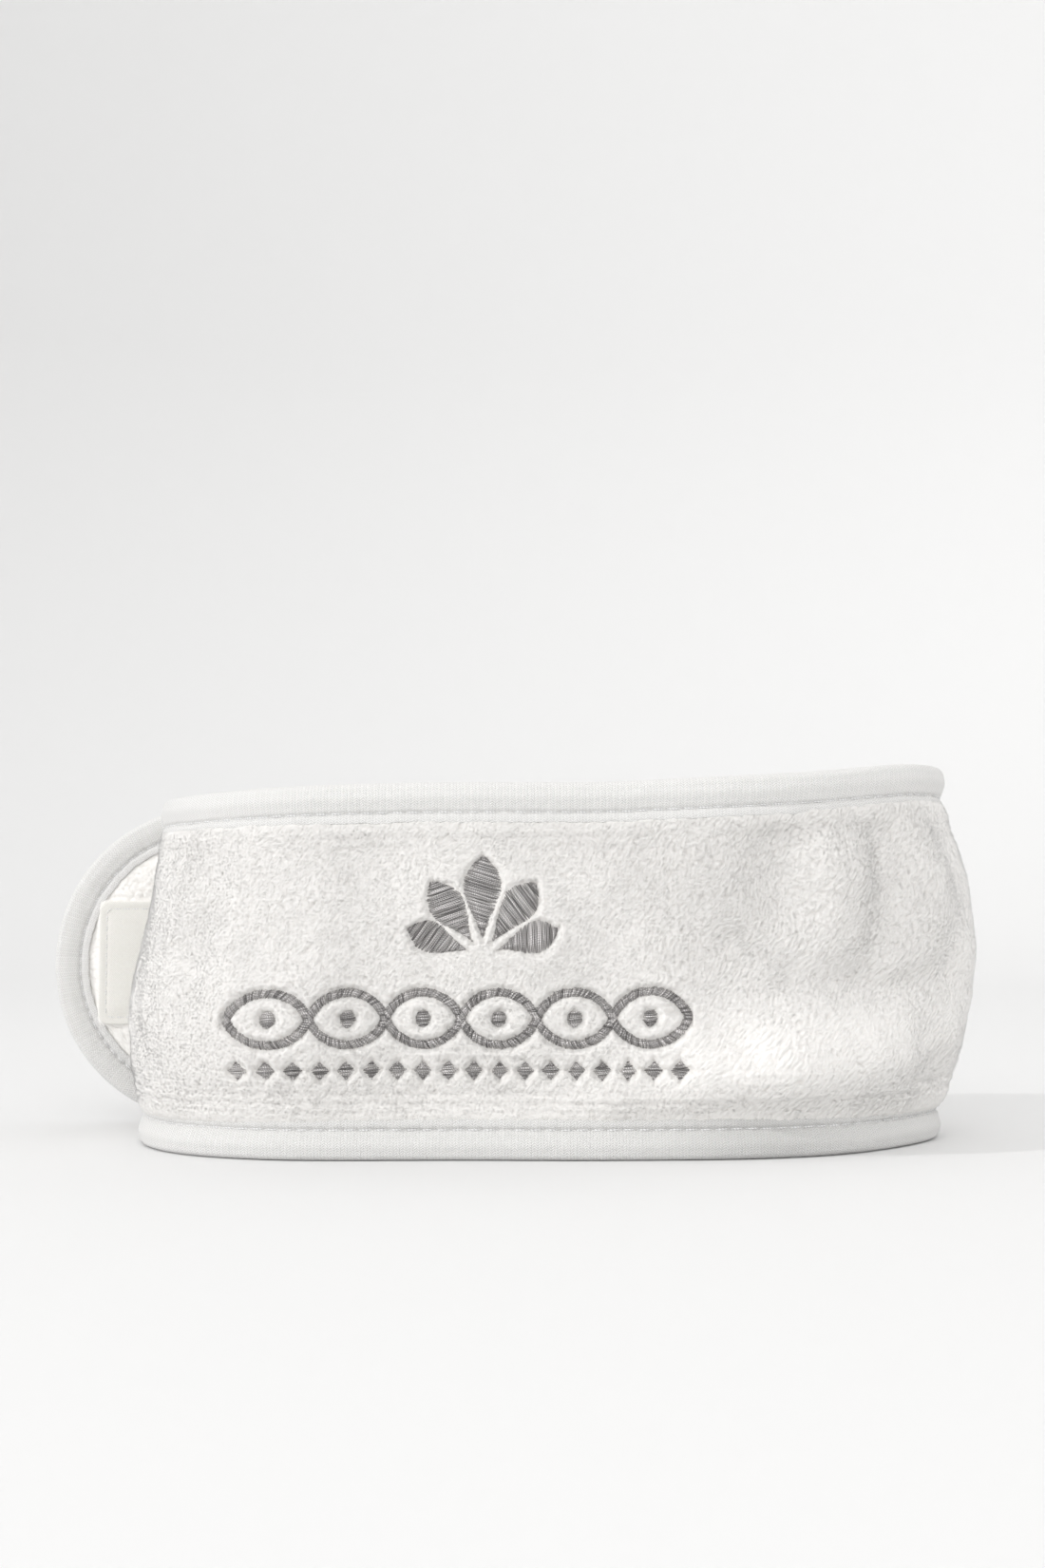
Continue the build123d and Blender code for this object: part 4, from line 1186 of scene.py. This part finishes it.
def rounded_rect(w, h, r, n=10):
    pts = []
    for cx, cy, a0 in ((w / 2 - r, h / 2 - r, 0), (-w / 2 + r, h / 2 - r, 90), (-w / 2 + r, -h / 2 + r, 180), (w / 2 - r, -h / 2 + r, 270)):
        for i in range(n):
            a = math.radians(a0 + 90 * i / (n - 1))
            pts.append((cx + r * math.cos(a), cy + r * math.sin(a)))
    return np.array(pts)


def patch(name, centre_s, length, u0, u1, side, mat, body, node, slot_name):
    """A sewn-on piece of fastening tape: pressed down along its seam, soft at its edge."""
    h = 35.0
    ring = rounded_rect(length, h, 3.0)
    shrink = [(0.0, -0.75), (0.0, -0.25), (0.12, -0.05), (0.45, 0.0), (1.3, 0.0), (1.75, -0.16), (2.1, -0.22),
              (2.5, -0.14), (3.2, 0.02), (5.5, 0.05), (9.0, 0.04), (13.0, 0.03), (16.9, 0.03)]
    rows = []
    for inset, drop in shrink:
        k = np.array([max(1 - 2 * inset / length, 0.02), 1 - 2 * inset / h])
        p = ring * k
        rows.append((p, drop))
    m = len(ring)
    P, ST = [], []
    for p, drop in rows:
        s, v = centre_s + p[:, 0], 45 + p[:, 1]
        wav = 0.05 * noise(s / 5, v / 5, 81) * (drop > -0.2)
        u = side * (u1 + drop + wav)
        P.append(place(s, v, u))
        ST.append(np.stack([s, v, 0 * s], -1))
    P, ST = np.array(P), np.array(ST)
    s, v = np.full(1, centre_s), np.full(1, 45.0)
    top = place(s, v, side * (u1 + 0.03))
    f = grid_faces(len(rows), m, flip=side > 0, closed=True)
    tri = []
    base = (len(rows) - 1) * m
    co = np.concatenate([P.reshape(-1, 3), top])
    for i in range(m):
        a, b, c = base + i, base + (i + 1) % m, len(co) - 1
        tri.append((a, b, c, c))
    st = np.concatenate([ST.reshape(-1, 3), [[centre_s, 45.0, 0]]])
    ob = make_mesh(name, co, f, [("st", "FLOAT_VECTOR", st)], mat)
    import bmesh
    bm = bmesh.new()
    bm.from_mesh(ob.data)
    bm.verts.ensure_lookup_table()
    cap = bm.faces.new([bm.verts[base + i] for i in range(m)])
    cap.smooth = True
    bot = bm.faces.new([bm.verts[i] for i in reversed(range(m))])
    bmesh.ops.delete(bm, geom=[bm.verts[len(co) - 1]], context="VERTS")
    bmesh.ops.recalc_face_normals(bm, faces=bm.faces)
    bm.to_mesh(ob.data)
    bm.free()
    ob.data.update()
    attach(ob, body)
    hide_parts(node)
    return ob


def patch_seam(name, centre_s, length, u, side, body, node):
    ring = rounded_rect(length - 4.2, 35 - 4.2, 1.6, 8)
    ring = np.concatenate([ring, ring[:1]])
    t = np.concatenate([[0], np.cumsum(np.hypot(*np.diff(ring, axis=0).T))])
    n = int(round(t[-1] / 2.6))
    pitch = t[-1] / n
    q = np.linspace(0, 1, 6)
    T = np.arange(n)[:, None] * pitch + 0.2 + q[None] * (pitch - 0.5)
    S = centre_s + np.interp(T, t, ring[:, 0])
    V = 45 + np.interp(T, t, ring[:, 1])
    arch = np.sin(PI * q)[None] ** 0.6
    U = side * (u - 0.2 + 0.25 * arch + 0 * T)
    P = place(S, V, U)
    R = np.broadcast_to(0.15 * (0.5 + 0.5 * arch), T.shape) * MM
    o = outward(S[:, 2]) * side
    run = P[:, -1] - P[:, 0]
    run /= np.linalg.norm(run, axis=-1, keepdims=True)
    sd = np.cross(run, o)
    sd /= np.linalg.norm(sd, axis=-1, keepdims=True)
    ob = tubes(name, P, R, sd, o, rng.uniform(0, 1, n), SEW)
    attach(ob, body)
    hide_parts(node)
    return ob


def nap(name, centre_s, length, u, side, body, pitch_s, pitch_v, hook, mat, slot_name):
    """Rows of nylon hooks, or a nap of small loops, standing on the tape."""
    ss = np.arange(-length / 2 + 3.1, length / 2 - 3.0, pitch_s)
    vv = np.arange(-17.5 + 3.1, 17.5 - 3.0, pitch_v)
    S, V = (x.ravel() for x in np.meshgrid(ss, vv, indexing="ij"))
    S = S + rng.normal(0, 0.06 if hook else 0.22, S.shape) + centre_s
    V = V + rng.normal(0, 0.05 if hook else 0.22, V.shape) + 45
    n = len(S)
    if hook:
        q = np.array([[0, 0], [0.02, 0.14], [0.05, 0.25], [0.13, 0.30], [0.20, 0.24]])
        rad = 0.07
        turn = np.where(rng.uniform(size=n) < 0.5, 0.0, PI) + rng.normal(0, 0.25, n)
    else:
        a = np.linspace(0, PI, 6)
        q = np.stack([0.24 * (1 - np.cos(a)), 0.2 * np.sin(a)], -1)
        rad = 0.055
        turn = rng.uniform(0, 2 * PI, n)
    ds = q[None, :, 0] * np.cos(turn)[:, None]
    dv = q[None, :, 0] * np.sin(turn)[:, None]
    U = side * (u - 0.03 + q[None, :, 1] * (0.45 if hook else 0.5) * rng.uniform(0.75, 1.1, n)[:, None])
    P = place(S[:, None] + ds, V[:, None] + dv, U)
    o = outward(S) * side
    sd = along(S) * -np.sin(turn)[:, None] + UP * np.cos(turn)[:, None]
    ob = tubes(name, P, np.full(P.shape[:2], rad * MM), sd, o * 0.5 + along(S) * np.cos(turn)[:, None] * 0.5,
               rng.uniform(0, 1, n), mat, sides=4)
    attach(ob, body)
    return ob


patch("hook_patch", HOOK_S, 100.0, 1.9, 3.1, -1, HOOKTAPE, "tab", "hook_patch", "hook_tape")
patch_seam("hook_patch_stitches", HOOK_S, 100.0, 2.98, -1, "tab", "hook_patch_stitching")
nap("hooks", HOOK_S, 100.0, 3.12, -1, "tab", 1.05, 1.25, True, HOOKTAPE, "hook_tape")
patch("loop_patch", LOOP_S, 43.0, 3.4, 4.6, 1, LOOPTAPE, "inner_end", "loop_patch", "loop_tape")
patch_seam("loop_patch_stitches", LOOP_S, 43.0, 4.42, 1, "inner_end", "loop_patch_stitching")
nap("loops", LOOP_S, 43.0, 4.6, 1, "inner_end", 0.7, 0.7, False, LOOPTAPE, "loop_tape")


# ------------------------------------------------------------------- floor and light


CAM = np.array([0.0106, -0.4925, 0.057])
PITCH_UP = math.radians(4.21)
PAPER = 0.83  # plain pale paper, one even tone for floor and backdrop


def stage_material():
    m, nt, b = nodes_of("paper")
    at = add(nt, "ShaderNodeAttribute", attribute_name="pale")
    link(nt, mixed(nt, at.outputs["Fac"], (0.0, 0.0, 0.0), (1.0, 1.0, 1.0)), b.inputs["Base Color"])
    b.inputs["Roughness"].default_value = 0.9
    b.inputs["Specular IOR Level"].default_value = 0.15
    return m


def bowl():
    prof = [(r, 0.0) for r in np.linspace(0.0, 1.3, 27)]
    for a in np.linspace(0, 90, 31)[1:]:
        prof.append((1.3 + 0.9 * math.sin(math.radians(a)), 0.9 - 0.9 * math.cos(math.radians(a))))
    prof += [(2.2, z) for z in np.linspace(1.0, 2.4, 12)]
    n = 160
    co = np.array([[r * math.cos(2 * PI * i / n), r * math.sin(2 * PI * i / n), z - 0.00001] for r, z in prof for i in range(n)])
    return make_mesh("backdrop", co, grid_faces(len(prof), n, flip=False, closed=True),
                     [("pale", "FLOAT", np.full(len(co), PAPER))], stage_material())


back = bowl()
back.visible_shadow = False

scene = bpy.context.scene
scene.view_settings.view_transform = "Standard"
scene.view_settings.look = "None"
scene.view_settings.exposure = 0.0
scene.view_settings.gamma = 1.0

world = bpy.data.worlds.new("studio")
world.use_nodes = True
world.node_tree.nodes["Background"].inputs[0].default_value = (1.0, 0.995, 0.985, 1)
world.node_tree.nodes["Background"].inputs[1].default_value = 0.99
scene.world = world


def lamp(name, kind, place_m, look_at, energy, **values):
    from mathutils import Vector
    d = bpy.data.lights.new(name, kind)
    d.energy = energy
    for k, v in values.items():
        setattr(d, k, v)
    o = bpy.data.objects.new(name, d)
    scene.collection.objects.link(o)
    o.location = place_m
    o.rotation_euler = (Vector(look_at) - Vector(place_m)).to_track_quat("-Z", "Y").to_euler()
    return o


lamp("key", "SUN", (-0.86, -0.34, 0.375), (0, 0, 0), 0.96, angle=math.radians(2.0))
lamp("front_soft", "AREA", (-0.20, -1.5, 0.95), (0, 0, 0.05), 7.5, shape="RECTANGLE", size=1.5, size_y=0.7)

cam_data = bpy.data.cameras.new("camera")
cam_data.sensor_width = 36.0
cam_data.lens = 1955 / 1650 * 36
cam_data.clip_start = 0.01
camera = bpy.data.objects.new("camera", cam_data)
scene.collection.objects.link(camera)
camera.location = tuple(CAM)
camera.rotation_euler = (math.radians(90) + PITCH_UP, 0, 0)
scene.camera = camera
